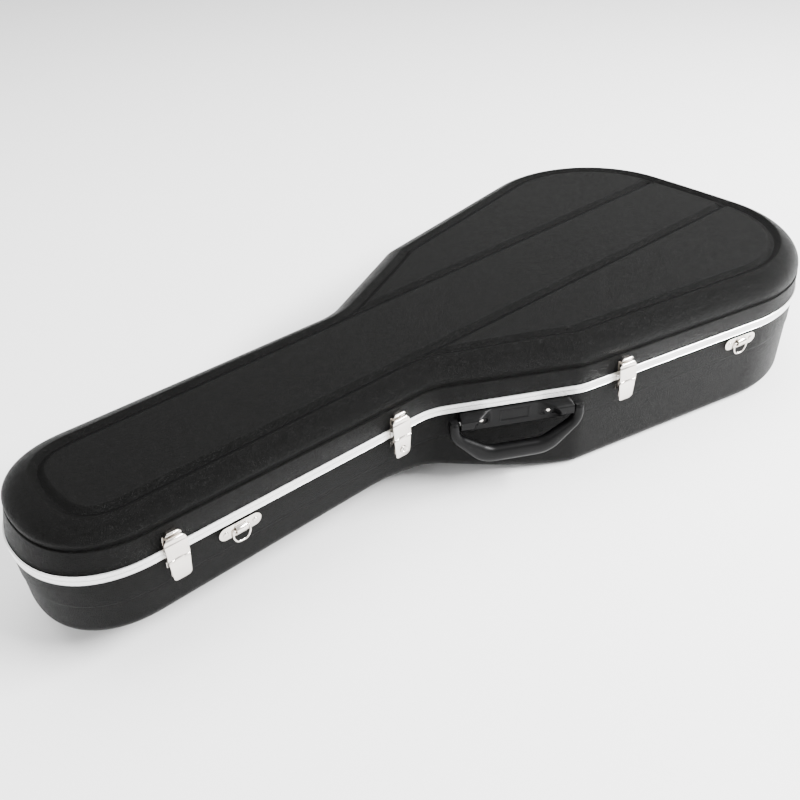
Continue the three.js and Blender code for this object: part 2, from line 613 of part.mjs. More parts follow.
// A cross board of the neck channel: it fits the channel's rounded section and stands on its lining.
function crossBoard(x0, x1, top, notch = []) {
  const floor = floorZ(x0) + SHELL_WALL + FLOOR_FOAM + LINING + 0.6;
  const half = CAVITY_OUTLINE.neckHalf - CAVITY_DRAFT - 1.2;
  const r = CAVITY_RADIUS;
  const side = [[half - r, floor], [half - r * 0.45, floor + r * 0.14], [half - r * 0.08, floor + r * 0.55],
    [half, floor + r], [half, top]];
  const left = side.map(([y, z]) => [-y, z]).reverse();
  const shape = new THREE.Shape([...side, ...notch, ...left].map(([y, z]) => new THREE.Vector2(y, z)));
  const geometry = new THREE.ExtrudeGeometry(shape, { depth: x1 - x0, bevelEnabled: false });
  const turnIn = new THREE.Matrix4().makeBasis(
    new THREE.Vector3(0, 1, 0), new THREE.Vector3(0, 0, 1), new THREE.Vector3(1, 0, 0));
  return geometry.applyMatrix4(turnIn).translate(x0, 0, 0);
}

function addNeckFittings(parent) {
  const [c0, c1] = CRADLE_X;
  const [p0, p1] = POCKET_X;
  const t = CRADLE_TOP;
  const notch = [[32, t], [28, t - 16], [14, t - 22], [-14, t - 22], [-28, t - 16], [-32, t]];
  put(parent, 'neck_cradle', crossBoard(c0, c1, t, notch), PLUSH);
  put(parent, 'pocket_partition', crossBoard(p0, p0 + 4, POCKET_LID_Z - GAP), PLUSH);
  const lidTop = POCKET_LID_Z + BOARD;
  put(parent, 'pocket_lid', box(p0, p1, -POCKET_HALF, POCKET_HALF, POCKET_LID_Z, lidTop), PLUSH);
  const tabX = (p0 + p1) / 2;
  put(parent, 'pocket_tab', box(tabX - 9, tabX + 9, 2 - POCKET_HALF, 20 - POCKET_HALF,
    lidTop + GAP, lidTop + GAP + 1.2), RIBBON);
}

// ---------------------------------------------------------------- assembly
function buildCase() {
  const rimFrame = new THREE.Group();
  addShells(rimFrame);
  addInside(rimFrame);
  addStrips(rimFrame);
  LATCH_X.forEach((x, i) => addLatch(rimFrame, x, LATCH_NAMES[i], LATCH_NAMES[i] === 'waist'));
  addHandle(rimFrame);
  STRAP_X.forEach((x, i) => addStrapRing(rimFrame, x, STRAP_NAMES[i]));
  HINGE_X.forEach((x, i) => addHinge(rimFrame, x, HINGE_NAMES[i]));
  addNeckFittings(rimFrame);

  // The case stands on its floor, with the origin under the middle of its box.
  const bounds = new THREE.Box3().setFromObject(rimFrame, true);
  const middle = bounds.getCenter(new THREE.Vector3());
  rimFrame.position.set(-middle.x, -middle.y, -bounds.min.z);
  return rimFrame;
}

const group = buildCase();
export default group;
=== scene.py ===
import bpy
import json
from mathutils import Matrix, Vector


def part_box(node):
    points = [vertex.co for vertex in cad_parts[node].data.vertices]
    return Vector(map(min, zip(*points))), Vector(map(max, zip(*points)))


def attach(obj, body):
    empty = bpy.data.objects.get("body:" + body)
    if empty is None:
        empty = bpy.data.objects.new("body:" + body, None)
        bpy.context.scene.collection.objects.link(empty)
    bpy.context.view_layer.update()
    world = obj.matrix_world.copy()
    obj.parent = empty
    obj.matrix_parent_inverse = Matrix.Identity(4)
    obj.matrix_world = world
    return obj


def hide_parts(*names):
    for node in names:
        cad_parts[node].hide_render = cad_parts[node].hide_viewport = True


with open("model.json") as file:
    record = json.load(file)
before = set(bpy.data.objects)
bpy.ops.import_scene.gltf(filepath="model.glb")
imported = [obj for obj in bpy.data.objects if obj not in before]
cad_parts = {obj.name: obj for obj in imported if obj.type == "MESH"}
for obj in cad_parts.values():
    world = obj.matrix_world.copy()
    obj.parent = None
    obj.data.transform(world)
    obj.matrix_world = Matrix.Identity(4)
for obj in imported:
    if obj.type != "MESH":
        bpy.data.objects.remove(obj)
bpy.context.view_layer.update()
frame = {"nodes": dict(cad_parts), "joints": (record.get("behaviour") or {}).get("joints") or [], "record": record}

# A moulded hard case for an acoustic guitar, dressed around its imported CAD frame.
# The case is drawn in its rim's frame, in millimetres: x runs from the neck end to the tail end, y = 0 is
# the middle plane, z = 0 is the plane in which lid and base part, and the latch side is -y. Hardware is
# drawn in frames on the wall: u runs along the wall, v goes up and w goes out of it.
import json
import math

import bmesh
import bpy
import numpy as np
from mathutils import Matrix, Vector

# ---- driving dimensions
LENGTH = 1090
SHELL_OUTLINE = {
    "start": 0, "end": LENGTH, "neck_reach": 100, "neck_half": 96.7, "neck_power": 2.25,
    "flare_x": 448.4, "flare_half": 96.7, "flare_radius": 74,
    "bout_x": 611, "bout_half": 183, "bout_radius": 60,
    "tail_half": 279.5, "tail_radius": 172, "end_radius": 2980,
}
CAVITY_OUTLINE = {
    "start": 28, "end": LENGTH - 26, "neck_reach": 52, "neck_half": 52, "neck_power": 2.35,
    "flare_x": 472, "flare_half": 52, "flare_radius": 80,
    "bout_x": 624, "bout_half": 150, "bout_radius": 62,
    "tail_half": 244, "tail_radius": 144, "end_radius": 2980,
}
HALF_POINTS = 340  # points along half of an outline
BODY_DEPTH = 116
LID_RISE = 63
TOP_SLOPE = 0.0097
NECK_LIFT = 40
NECK_SLOPE = 5.5  # the neck's underside is this much deeper at its end and shallower at the waist
NECK_SLOPE_MIDDLE = 185
LIFT_START = 365
LIFT_END = 612
WALL = 3
BASE_DRAFT = 4.5
BASE_RADIUS = 13
BASE_CREASE_Z = -38
RIM_EDGE = 3.2
SEAM = 0.15

CREASE_Z = 27.5  # a fine ledge runs round the lid here
CREASE_CLIMB = 5  # it climbs this much towards the neck end
PILLOW_RISE = 6.5  # the shoulder stands out furthest this far above the ledge
LEDGE = 2.0
PILLOW_PROUD = -0.7  # below 0, the shoulder stays inside the rim's outline
SHOULDER_TURN = math.radians(64)  # the shoulder meets the border's lip at an angle
LIP_RISE = 0.9  # the shoulder's foot lies this far above the ledge
NECK_LEAN = 13.8  # the shoulder reaches this much further in at the neck end
NECK_WALL_LEAN = 6.5  # the lid's wall leans back this much there
GROOVE_Y = 64.5  # the two straight grooves
GROOVE_FADE = (200, 300)  # where they come out of the neck's border groove
BODY_GROOVE_INSET = 36  # the border groove, in from the rim
BORDER_TURN = (440, 600)  # where the border groove moves from the neck's place to the body's
GROOVE_DEPTH = 4.4
GROOVE_HALF = 9
PANEL_DROP = 0.4
GROOVE_SHAPE = [  # a soft V: places across in half widths, inwards, and the depth there as a share
    (-1, 0), (-0.93, 0.03), (-0.84, 0.12), (-0.7, 0.29), (-0.5, 0.52), (-0.3, 0.74), (-0.12, 0.93), (0, 1),
    (0.12, 0.93), (0.3, 0.74), (0.5, 0.52), (0.7, 0.3), (0.84, 0.17), (0.93, 0.11), (1, 0.09),
]

BAND_HALF = 5.6
BAND_PROUD = 1.6
BAND_LEG = 7.5
RIBS = 3  # fine ribs on each strip
RIB_DEPTH = 0.24

LINER_LEDGE = 8.2  # the liners start this far in from the shell
LINER_START = 2.8  # and this far from the rim plane
LINER_SKIN = 1.4
LINER_LIP = 6  # radius of the turn from the ledge into the hollow

CORNER_R = 6.4  # the rounded corners of latches and hinges

LATCH_NAMES = ["neck", "waist", "body"]
LATCH_WIDTH = 24
LEVER_PIVOT = (5.4, 1)  # out and up from the wall at rim height
LINK_PIVOT = (8.7, -6.5)
LEVER_TIP_Z = -33.5
LOCK_Z = -22.5
LOCK_R = 4

HANDLE_PLATE = {"half": 68, "top": -3.8, "bottom": -31.8, "face": 3.3}
HANDLE_PIVOT = (10, -12.8)
HANDLE_RIVET = (41, -17.8)
BARREL_R = 8.5
GRIP_DROP = 49.5  # from the pivot down to the grip's middle line

RING_PIVOT_OUT = 3.5
HINGE_NAMES = ["front", "middle", "rear"]
HINGE_WIDTH = 46
HINGE_LEAF = 1.4
HINGE_LOW, HINGE_HIGH = -30, 22  # the leaves' far edges
HINGE_RIVETS = (-15, 0, 15)
KNUCKLE_R = 3.1

MM = 0.001
UP = Vector((0, 0, 1))
band_low, band_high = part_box("base_valance")
RIM_ORIGIN = Vector(((band_low.x + band_high.x) / 2 - LENGTH / 2 * MM,
                     (band_low.y + band_high.y) / 2, band_high.z + SEAM * MM))
JOINTS = {joint["name"]: joint for joint in frame["joints"]}
TO_ROW = Matrix.Translation(RIM_ORIGIN) @ Matrix.Scale(MM, 4)


def smoothstep(x, a, b):
    t = np.clip((np.asarray(x, float) - a) / (b - a), 0, 1)
    return t * t * (3 - 2 * t)


# ---- materials
class Shader:
    """A material with its Principled shader and short calls for the nodes that feed it."""

    def __init__(self, name, color, roughness, metallic=0.0, **constants):
        self.material = bpy.data.materials.new(name)
        self.material.use_nodes = True
        self.material.diffuse_color = (*color, 1)
        self.tree = self.material.node_tree
        self.surface = self.tree.nodes["Principled BSDF"]
        self.surface.inputs["Base Color"].default_value = (*color, 1)
        self.surface.inputs["Roughness"].default_value = roughness
        self.surface.inputs["Metallic"].default_value = metallic
        for key, value in constants.items():
            self.surface.inputs[key.replace("_", " ")].default_value = value
        self.color = color
        self.place = self.tree.nodes.new("ShaderNodeTexCoord").outputs["Object"]

    def node(self, kind, **inputs):
        made = self.tree.nodes.new(kind)
        for key, value in inputs.items():
            made.inputs[key.replace("_", " ")].default_value = value
        return made

    def link(self, a, b):
        self.tree.links.new(a, b)

    def stretched(self, scale):
        """Object coordinates with each axis scaled."""
        mapping = self.node("ShaderNodeMapping", Scale=scale)
        self.link(self.place, mapping.inputs["Vector"])
        return mapping.outputs["Vector"]

    def noise(self, scale, detail=3.0, vector=None):
        made = self.node("ShaderNodeTexNoise", Scale=scale, Detail=detail)
        self.link(vector or self.place, made.inputs["Vector"])
        return made.outputs["Fac"]

    def cells(self, scale, feature="DISTANCE_TO_EDGE"):
        made = self.node("ShaderNodeTexVoronoi", Scale=scale)
        made.feature = feature
        self.link(self.place, made.inputs["Vector"])
        return made.outputs["Distance"]

    def ranged(self, value, low, high, to_low, to_high):
        made = self.node("ShaderNodeMapRange")
        for key, number in zip(("From Min", "From Max", "To Min", "To Max"), (low, high, to_low, to_high)):
            made.inputs[key].default_value = number
        self.link(value, made.inputs["Value"])
        return made.outputs["Result"]

    def math(self, operation, a, b):
        made = self.tree.nodes.new("ShaderNodeMath")
        made.operation = operation
        for socket, value in zip(made.inputs, (a, b)):
            if isinstance(value, (int, float)):
                socket.default_value = value
            else:
                self.link(value, socket)
        return made.outputs[0]

    def shades(self, fac, darker, lighter):
        """The colour varies between two multiples of itself."""
        ramp = self.tree.nodes.new("ShaderNodeValToRGB")
        for stop, factor in zip(ramp.color_ramp.elements, (darker, lighter)):
            stop.color = (*[min(1, c * factor) for c in self.color], 1)
        self.link(fac, ramp.inputs["Fac"])
        self.link(ramp.outputs["Color"], self.surface.inputs["Base Color"])

    def rough(self, fac, low, high):
        self.link(self.ranged(fac, 0.25, 0.75, low, high), self.surface.inputs["Roughness"])

    def bump(self, height, distance, strength=1.0):
        made = self.node("ShaderNodeBump", Strength=strength, Distance=distance)
        self.link(height, made.inputs["Height"])
        self.link(made.outputs["Normal"], self.surface.inputs["Normal"])


def grained_abs():
    s = Shader("grained_abs", (0.0012, 0.0012, 0.0011), 0.36, Specular_IOR_Level=0.065)
    pebbles = s.ranged(s.cells(620), 0.0, 0.32, 0.0, 1.0)
    fine = s.noise(2400, 2)
    s.bump(s.math("ADD", pebbles, s.math("MULTIPLY", fine, 0.6)), 0.0005, 1.0)
    s.shades(s.noise(26, 4), 0.86, 1.14)
    s.rough(s.noise(190, 3), 0.32, 0.42)
    return s.material


def moulded_plastic():
    s = Shader("moulded_plastic", (0.0020, 0.0020, 0.0021), 0.34, Specular_IOR_Level=0.10)
    s.bump(s.noise(3000, 2), 0.00005, 0.5)
    s.shades(s.noise(60, 3), 0.85, 1.15)
    s.rough(s.noise(240, 3), 0.32, 0.42)
    return s.material


def strip_aluminium():
    s = Shader("strip_aluminium", (0.95, 0.95, 0.94), 0.24, 1.0)
    drawn = s.noise(60, 4, s.stretched((6, 6, 140)))
    s.bump(drawn, 0.00004, 0.4)
    s.shades(s.noise(45, 3), 0.95, 1.03)
    s.rough(drawn, 0.22, 0.34)
    return s.material


def bright_nickel():
    s = Shader("bright_nickel", (0.76, 0.715, 0.665), 0.16, 1.0)
    s.shades(s.noise(140, 4), 0.94, 1.04)
    s.rough(s.noise(420, 5), 0.12, 0.24)
    s.bump(s.noise(900, 3), 0.00002, 0.35)
    return s.material


def pin_steel():
    s = Shader("pin_steel", (0.52, 0.515, 0.50), 0.34, 1.0)
    s.shades(s.noise(300, 4), 0.85, 1.08)
    s.rough(s.noise(700, 3), 0.28, 0.42)
    s.bump(s.noise(1500, 3), 0.00003, 0.4)
    return s.material


def plush():
    s = Shader("plush", (0.030, 0.030, 0.034), 0.95, Sheen_Weight=0.6, Sheen_Roughness=0.45)
    nap = s.math("ADD", s.noise(1900, 4), s.math("MULTIPLY", s.noise(70, 3), 0.7))
    s.bump(nap, 0.0006, 0.7)
    s.shades(s.noise(38, 5), 0.6, 1.5)
    s.rough(s.noise(90, 3), 0.9, 1.0)
    return s.material


def foam():
    s = Shader("foam", (0.42, 0.42, 0.40), 0.9)
    s.bump(s.cells(330, "F1"), 0.0006, 0.8)
    s.shades(s.cells(330, "F1"), 0.85, 1.1)
    s.rough(s.noise(200, 2), 0.85, 0.95)
    return s.material


def ribbon():
    s = Shader("ribbon", (0.014, 0.014, 0.015), 0.7, Sheen_Weight=0.3)
    s.bump(s.cells(2600, "F1"), 0.0002, 0.8)
    s.shades(s.noise(300, 3), 0.75, 1.25)
    s.rough(s.noise(300, 3), 0.6, 0.8)
    return s.material


# A near-black material for a thin sheet on the lock's face: painted shade standing in for the shadowed hollow of
# the keyway.
def painted_keyway_shade():
    s = Shader("painted_keyway_shade", (0.006, 0.006, 0.006), 0.6)
    s.rough(s.noise(900, 2), 0.5, 0.7)
    return s.material


SLOT_MATERIALS = {
    "shell_abs": grained_abs(), "handle_moulding": moulded_plastic(), "strip_aluminium": strip_aluminium(),
    "bright_nickel": bright_nickel(), "pin_steel": pin_steel(), "plush_lining": plush(),
    "foam_core": foam(), "pull_ribbon": ribbon(),
}
KEYWAY_SHADE_PAINT = painted_keyway_shade()


def dress_cad_nodes():
    for subpart in frame["record"]["subparts"]:
        node = frame["nodes"][subpart["node"]]
        node.data.materials.clear()
        node.data.materials.append(SLOT_MATERIALS[subpart["material_slot"]])


# ---- pieces
def make_piece(name, parts, place, slot, body, replaced=(), angle=35, material=None):
    """Joins meshes of points and faces into one object, placed in the row frame, that rides on a body."""
    joined = bmesh.new()
    for part in parts:
        mesh = part if isinstance(part, bpy.types.Mesh) else mesh_of(*part)
        joined.from_mesh(mesh)
        bpy.data.meshes.remove(mesh)
    bmesh.ops.remove_doubles(joined, verts=joined.verts, dist=1e-4)
    mesh = bpy.data.meshes.new(name)
    joined.to_mesh(mesh)
    joined.free()
    mesh.transform(place)
    mesh.materials.append(material or SLOT_MATERIALS[slot])
    mesh.polygons.foreach_set("use_smooth", [True] * len(mesh.polygons))
    mesh.set_sharp_from_angle(angle=math.radians(angle))
    piece = bpy.data.objects.new(name, mesh)
    bpy.context.scene.collection.objects.link(piece)
    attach(piece, body)
    if replaced:
        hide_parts(*replaced)
    return piece


def mesh_of(points, faces):
    mesh = bpy.data.meshes.new("part")
    mesh.from_pydata([tuple(p) for p in points], [], [tuple(f) for f in faces])
    return mesh


# ---- the case's outline
def half_outline(o):
    """Dense points of the half outline (y >= 0) from the neck end's middle to the tail end's middle."""
    t = np.linspace(0, math.pi / 2, 50)
    power = 2 / o["neck_power"]
    xs = list(o["start"] + o["neck_reach"] * (1 - np.cos(t) ** power))
    ys = list(o["neck_half"] * np.sin(t) ** power)

    def turn(x, y, radius, a, b):
        side = 1 if b > a else -1
        h = np.linspace(a, b, 40)
        xs.extend(x - side * radius * math.sin(a) + side * radius * np.sin(h))
        ys.extend(y + side * radius * math.cos(a) - side * radius * np.cos(h))

    def corner(x, y, radius, a, b):
        reach = radius * math.tan(abs(b - a) / 2)
        turn(x - reach * math.cos(a), y - reach * math.sin(a), radius, a, b)

    neck_x = o["start"] + o["neck_reach"]
    neck = math.atan2(o["flare_half"] - o["neck_half"], o["flare_x"] - neck_x)
    flare = math.atan2(o["bout_half"] - o["flare_half"], o["bout_x"] - o["flare_x"])
    side = math.atan2(o["tail_half"] - o["bout_half"], o["end"] - o["bout_x"])
    corner(o["flare_x"], o["flare_half"], o["flare_radius"], neck, flare)
    corner(o["bout_x"], o["bout_half"], o["bout_radius"], flare, side)
    # The tail corner touches the body's side and, from inside, the end's big arc.
    far = o["end"] - o["end_radius"]
    vx = o["bout_x"] + o["tail_radius"] * math.sin(side) - far
    vy = o["bout_half"] - o["tail_radius"] * math.cos(side)
    along = vx * math.cos(side) + vy * math.sin(side)
    gap = (o["end_radius"] - o["tail_radius"]) ** 2
    reach = -along + math.sqrt(along ** 2 - vx ** 2 - vy ** 2 + gap)
    centre_angle = math.atan2(vy + reach * math.sin(side), vx + reach * math.cos(side))
    turn(o["bout_x"] + reach * math.cos(side), o["bout_half"] + reach * math.sin(side), o["tail_radius"],
         side, centre_angle - math.pi / 2)
    last = math.asin(ys[-1] / o["end_radius"])
    for a in np.linspace(last, 0, 12)[1:]:
        xs.append(far + o["end_radius"] * math.cos(a))
        ys.append(o["end_radius"] * math.sin(a))
    return np.array(xs), np.array(ys)


class Loop:
    """The closed outline, anticlockwise from above, in even steps, with outward normals."""

    def __init__(self, outline):
        xs, ys = half_outline(outline)
        run = np.concatenate([[0], np.cumsum(np.hypot(np.diff(xs), np.diff(ys)))])
        even = np.linspace(0, run[-1], HALF_POINTS + 1)
        x, y = np.interp(even, run, xs), np.interp(even, run, ys)
        self.x = np.concatenate([x, x[-2:0:-1]])
        self.y = np.concatenate([-y, y[-2:0:-1]])
        dx = np.roll(self.x, -1) - np.roll(self.x, 1)
        dy = np.roll(self.y, -1) - np.roll(self.y, 1)
        length = np.hypot(dx, dy)
        self.nx, self.ny = dy / length, -dx / length

    def ring(self, inset, height):
        """The loop moved in by inset, at a height: numbers, or functions of the loop and of x."""
        by = inset(self) if callable(inset) else inset
        x, y = self.x - self.nx * by, self.y - self.ny * by
        z = height(x) if callable(height) else np.full(len(x), float(height))
        return np.column_stack([x, y, z])


shell_loop = Loop(SHELL_OUTLINE)
cavity_loop = Loop(CAVITY_OUTLINE)


def floor_z(x):
    slope = np.clip(np.asarray(x, float) / NECK_SLOPE_MIDDLE - 1, -1, 1)
    lift = NECK_LIFT + NECK_SLOPE * slope
    return -BODY_DEPTH + lift * (1 - smoothstep(x, LIFT_START, LIFT_END))


def top_z(x):
    return LID_RISE - TOP_SLOPE * (LENGTH - np.asarray(x, float))


# ---- lofting rings into solids
def cap(points, faces, start, ring, up, across):
    """Closes a ring with rungs across it. across(half) places the points on half a rung."""
    count = len(ring)
    half = count // 2
    rows = [[start]]
    for i in range(1, half):
        x, y, z = ring[i]
        places = across(-y)
        inner = np.concatenate([-places[:0:-1], places])[1:-1]
        first = len(points)
        points.extend([x, v, z] for v in inner)
        rows.append([start + i, *range(first, first + len(inner)), start + count - i])
    rows.append([start + half])
    for a, b in zip(rows, rows[1:]):
        for k in range(max(len(a), len(b)) - 1):
            face = [a[min(k, len(a) - 1)], b[min(k, len(b) - 1)], b[min(k + 1, len(b) - 1)],
                    a[min(k + 1, len(a) - 1)]]
            face = list(dict.fromkeys(face))
            faces.append(face if up else face[::-1])


def evenly(count):
    """Evenly spaced places on half a rung of any half."""
    return lambda half: np.linspace(0, half, count)


def loft(rings, closed=False, across=evenly(4), shape=None):
    """Joins rings that go anticlockwise around the section, and caps the first and the last."""
    points = [list(p) for ring in rings for p in ring]
    count = len(rings[0])
    faces = []
    for r in range(len(rings) if closed else len(rings) - 1):
        a, b = r * count, (r + 1) % len(rings) * count
        faces.extend([a + i, a + (i + 1) % count, b + (i + 1) % count, b + i] for i in range(count))
    if not closed:
        cap(points, faces, 0, rings[0], False, evenly(4))
        cap(points, faces, (len(rings) - 1) * count, rings[-1], True, across)
    points = np.array(points)
    if shape:
        points = shape(points)
    return points, faces


def quarter(steps):
    """Angles of a quarter turn, from the wall to the flat."""
    return np.linspace(0, math.pi / 2, steps + 1)


# ---- shells
def neck_end(loop, reach):
    """A reach at the neck end's middle that dies out along the sides, for each point of the loop."""
    return reach * np.maximum(0, -loop.nx) ** 2


def groove_inset(loop):
    """The border groove's centre, in from the rim: it lies on the straight grooves' lines on the neck."""
    neck = SHELL_OUTLINE["neck_half"] - GROOVE_Y
    side = neck + (BODY_GROOVE_INSET - neck) * smoothstep(loop.x, *BORDER_TURN)
    return side + neck_end(loop, NECK_LEAN)


def crease_z(x):
    return CREASE_Z + CREASE_CLIMB * (1 - np.clip(x / SHELL_OUTLINE["bout_x"], 0, 1))


def lid_ring(inset, rise):
    """A ring of the lid, rise above its ledge. The neck end's wall leans back."""
    return shell_loop.ring(lambda loop: inset + neck_end(loop, NECK_WALL_LEAN), lambda x: crease_z(x) + rise)


def shoulder_rings(g, steps):
    """The lid's pillow-shaped shoulder moved in by g, from the ledge up to the border's lip."""
    rings = [lid_ring(g + LEDGE, LIP_RISE)]
    for t in (0.35, 0.7):
        rings.append(lid_ring(g + LEDGE - (LEDGE + PILLOW_PROUD) * math.sin(t * math.pi / 2),
                              LIP_RISE + (PILLOW_RISE - LIP_RISE) * t))
    for t in np.linspace(0, SHOULDER_TURN, steps + 1):
        run = (1 - math.cos(t)) / (1 - math.cos(SHOULDER_TURN))
        climb = math.sin(t) / math.sin(SHOULDER_TURN)

        def inset(loop, run=run):
            start = g - PILLOW_PROUD + neck_end(loop, NECK_WALL_LEAN)
            return start + (groove_inset(loop) - GROOVE_HALF - start) * run

        def height(x, climb=climb):
            pillow = crease_z(x) + PILLOW_RISE
            return pillow + (top_z(x) - g - pillow) * climb

        rings.append(shell_loop.ring(inset, height))
    return rings


def lid_wall(g):
    """The lid's wall from its rim to the ledge under the shoulder."""
    rings = [shell_loop.ring(g, RIM_EDGE)]
    if g == 0:
        rings.append(shell_loop.ring(lambda loop: neck_end(loop, 0.2 * NECK_WALL_LEAN), 12))
    rings.append(lid_ring(g + 0.05, -0.9))
    if g == 0:
        rings += [lid_ring(0.25, -0.3), lid_ring(0.7, 0.05), lid_ring(1.3, 0.25), lid_ring(1.8, 0.45)]
    return rings


def straight_grooves(points):
    """Sinks the two straight grooves into the lid's top, from the neck to the tail's border groove."""
    x, y, z = points.T
    inside = z > top_z(x) - GROOVE_DEPTH - 0.5
    across = np.abs(np.abs(y) - GROOVE_Y) / GROOVE_HALF
    depth = GROOVE_DEPTH * np.interp(across, *zip(*[(t, d) for t, d in GROOVE_SHAPE if t >= 0]))
    depth = np.where(across > 1, 0, np.maximum(depth, PANEL_DROP))
    tail_groove = LENGTH - BODY_GROOVE_INSET
    depth *= smoothstep(x, *GROOVE_FADE) * (1 - smoothstep(x, tail_groove - 3, tail_groove + 3))
    return np.column_stack([x, y, np.where(inside, np.minimum(z, top_z(x) - depth), z)])


def lid_across(half):
    """Places on half a rung of the lid's top, close together where a straight groove may run."""
    inner, outer = GROOVE_Y - GROOVE_HALF - 1, GROOVE_Y + GROOVE_HALF + 1
    reach = max(half, outer + 4)
    placed = np.concatenate([np.linspace(0, inner, 14), np.linspace(inner, outer, 23)[1:],
                             np.linspace(outer, reach, 12)[1:]])
    even = np.linspace(0, half, len(placed))
    share = float(smoothstep(half, outer + 4, outer + 20))
    return even * (1 - share) + placed * share


def lid_shell():
    groove = [shell_loop.ring(lambda loop, t=t: groove_inset(loop) + GROOVE_HALF * t,
                              lambda x, d=d: top_z(x) - max(GROOVE_DEPTH * d, PANEL_DROP if t > 0 else 0))
              for t, d in GROOVE_SHAPE]
    under = shell_loop.ring(lambda loop: groove_inset(loop) + GROOVE_HALF + 2,
                            lambda x: top_z(x) - GROOVE_DEPTH - WALL)
    edge = shell_loop.ring(lambda loop: groove_inset(loop) - GROOVE_HALF, lambda x: top_z(x) - WALL - 1.5)
    inner = [under, edge, *reversed(shoulder_rings(WALL, 6)[:-1]), *reversed(lid_wall(WALL))]
    outer = [*lid_wall(0), *shoulder_rings(0, 16)[:-1], *groove]
    solid = loft([*inner, *outer], across=lid_across, shape=straight_grooves)
    make_piece("case_lid_shell", [solid], TO_ROW, "shell_abs", "lid", ["lid_shell"], angle=60)


def base_lean(z):
    """How far the base's wall has come in at height z: an inset for each point of the loop."""
    return lambda loop: BASE_DRAFT * (-RIM_EDGE - z) / (-RIM_EDGE - floor_z(loop.x) - BASE_RADIUS)


def base_wall(g, steps):
    """The base's bowl moved in by g, from the floor's edge up to the rim."""
    rings = []
    for t in reversed(quarter(steps)):
        inset = BASE_DRAFT + g + (BASE_RADIUS - g) * (1 - math.cos(t))
        climb = g + (BASE_RADIUS - g) * (1 - math.sin(t))
        rings.append(shell_loop.ring(inset, lambda x, climb=climb: floor_z(x) + climb))
    if g == 0:
        for dz, proud in ((-1.6, -0.5), (-0.7, -0.35), (0.3, 0.3), (1.2, 0.45)):
            lean = base_lean(BASE_CREASE_Z + dz)
            rings.append(shell_loop.ring(lambda loop, lean=lean, proud=proud: lean(loop) - proud,
                                         BASE_CREASE_Z + dz))
        rings.append(shell_loop.ring(base_lean(-12), -12))
    rings.append(shell_loop.ring(g, -RIM_EDGE))
    return rings


def base_shell():
    rings = [*base_wall(0, 10), *reversed(base_wall(WALL, 4))]
    solid = loft(rings)
    make_piece("case_base_shell", [solid], TO_ROW, "shell_abs", "base", ["base_shell"], angle=60)


# ---- strips
def strip_face(z_from, z_to):
    """The ribbed face of a strip, between two heights."""
    places = np.linspace(0, 1, RIBS * 8 + 1)
    ribs = RIB_DEPTH * (0.5 - 0.5 * np.cos(places * RIBS * 2 * math.pi))
    return [(BAND_PROUD - RIB_DEPTH + r, z_from + (z_to - z_from) * p) for p, r in zip(places, ribs)]


def strips():
    lip = RIM_EDGE - 0.3
    base = [(0.3, -BAND_HALF), (1.0, -BAND_HALF), (BAND_PROUD, -BAND_HALF + 0.5),
            *strip_face(-BAND_HALF + 0.7, -SEAM - 0.25), (BAND_PROUD - 0.35, -SEAM),
            (-2, -SEAM), (-2, -2), (-6, -2), (-6, -SEAM), (-BAND_LEG, -SEAM), (-BAND_LEG, -lip), (0.3, -lip)]
    lid = [(-BAND_LEG, SEAM), (-4, SEAM), (-4, -1.6), (-2.4, -1.6), (-2.4, SEAM), (BAND_PROUD - 0.35, SEAM),
           *strip_face(SEAM + 0.25, BAND_HALF - 0.7), (BAND_PROUD, BAND_HALF - 0.5), (1.0, BAND_HALF),
           (0.3, BAND_HALF), (0.3, lip), (-BAND_LEG, lip)]
    for name, outline, body in (("base_valance", base, "base"), ("lid_valance", lid, "lid")):
        solid = loft([shell_loop.ring(-out, z) for out, z in outline], closed=True)
        make_piece("ribbed_" + name, [solid], TO_ROW, "strip_aluminium", body, [name], angle=40)


# ---- lining
def liner(name, body, replaced, side, far, edge, radius, gap):
    """A plush liner below (side -1) or above (side 1) the rim plane. It comes in by edge at the wall, turns
    with a radius and lies a gap off far(x), the shell's outer flat."""
    def hollow(skin):
        rings = []
        for t in quarter(7):
            fall = gap - skin + radius * (1 - math.sin(t))
            rings.append(cavity_loop.ring(edge - skin + radius * (1 - math.cos(t)),
                                          lambda x, fall=fall: far(x) - side * fall))
        return rings

    visible = [shell_loop.ring(LINER_LEDGE, side * LINER_START), shell_loop.ring(LINER_LEDGE, side * 1.6),
               shell_loop.ring(LINER_LEDGE + 1, side * 0.9)]
    for t in quarter(4):
        visible.append(cavity_loop.ring(LINER_LIP * (math.sin(t) - 1),
                                        side * (0.8 + LINER_LIP * (1 - math.cos(t)))))
    visible += hollow(0)
    back = [cavity_loop.ring(-LINER_SKIN, side * LINER_START), *hollow(LINER_SKIN)]
    rings = [*reversed(back), *visible] if side < 0 else [*reversed(visible), *back]
    solid = loft(rings, across=evenly(12))
    piece = make_piece(name, [solid], TO_ROW, "plush_lining", body, replaced, angle=60)


def liners():
    liner("plush_base_liner", "base", ["base_lining", "base_foam"], -1, floor_z, edge=6, radius=16, gap=16.6)
    liner("plush_lid_liner", "lid", ["lid_lining", "lid_foam"], 1, top_z, edge=4, radius=26, gap=15.6)


def rim_box(node):
    low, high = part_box(node)
    return [(low - RIM_ORIGIN) / MM, (high - RIM_ORIGIN) / MM]


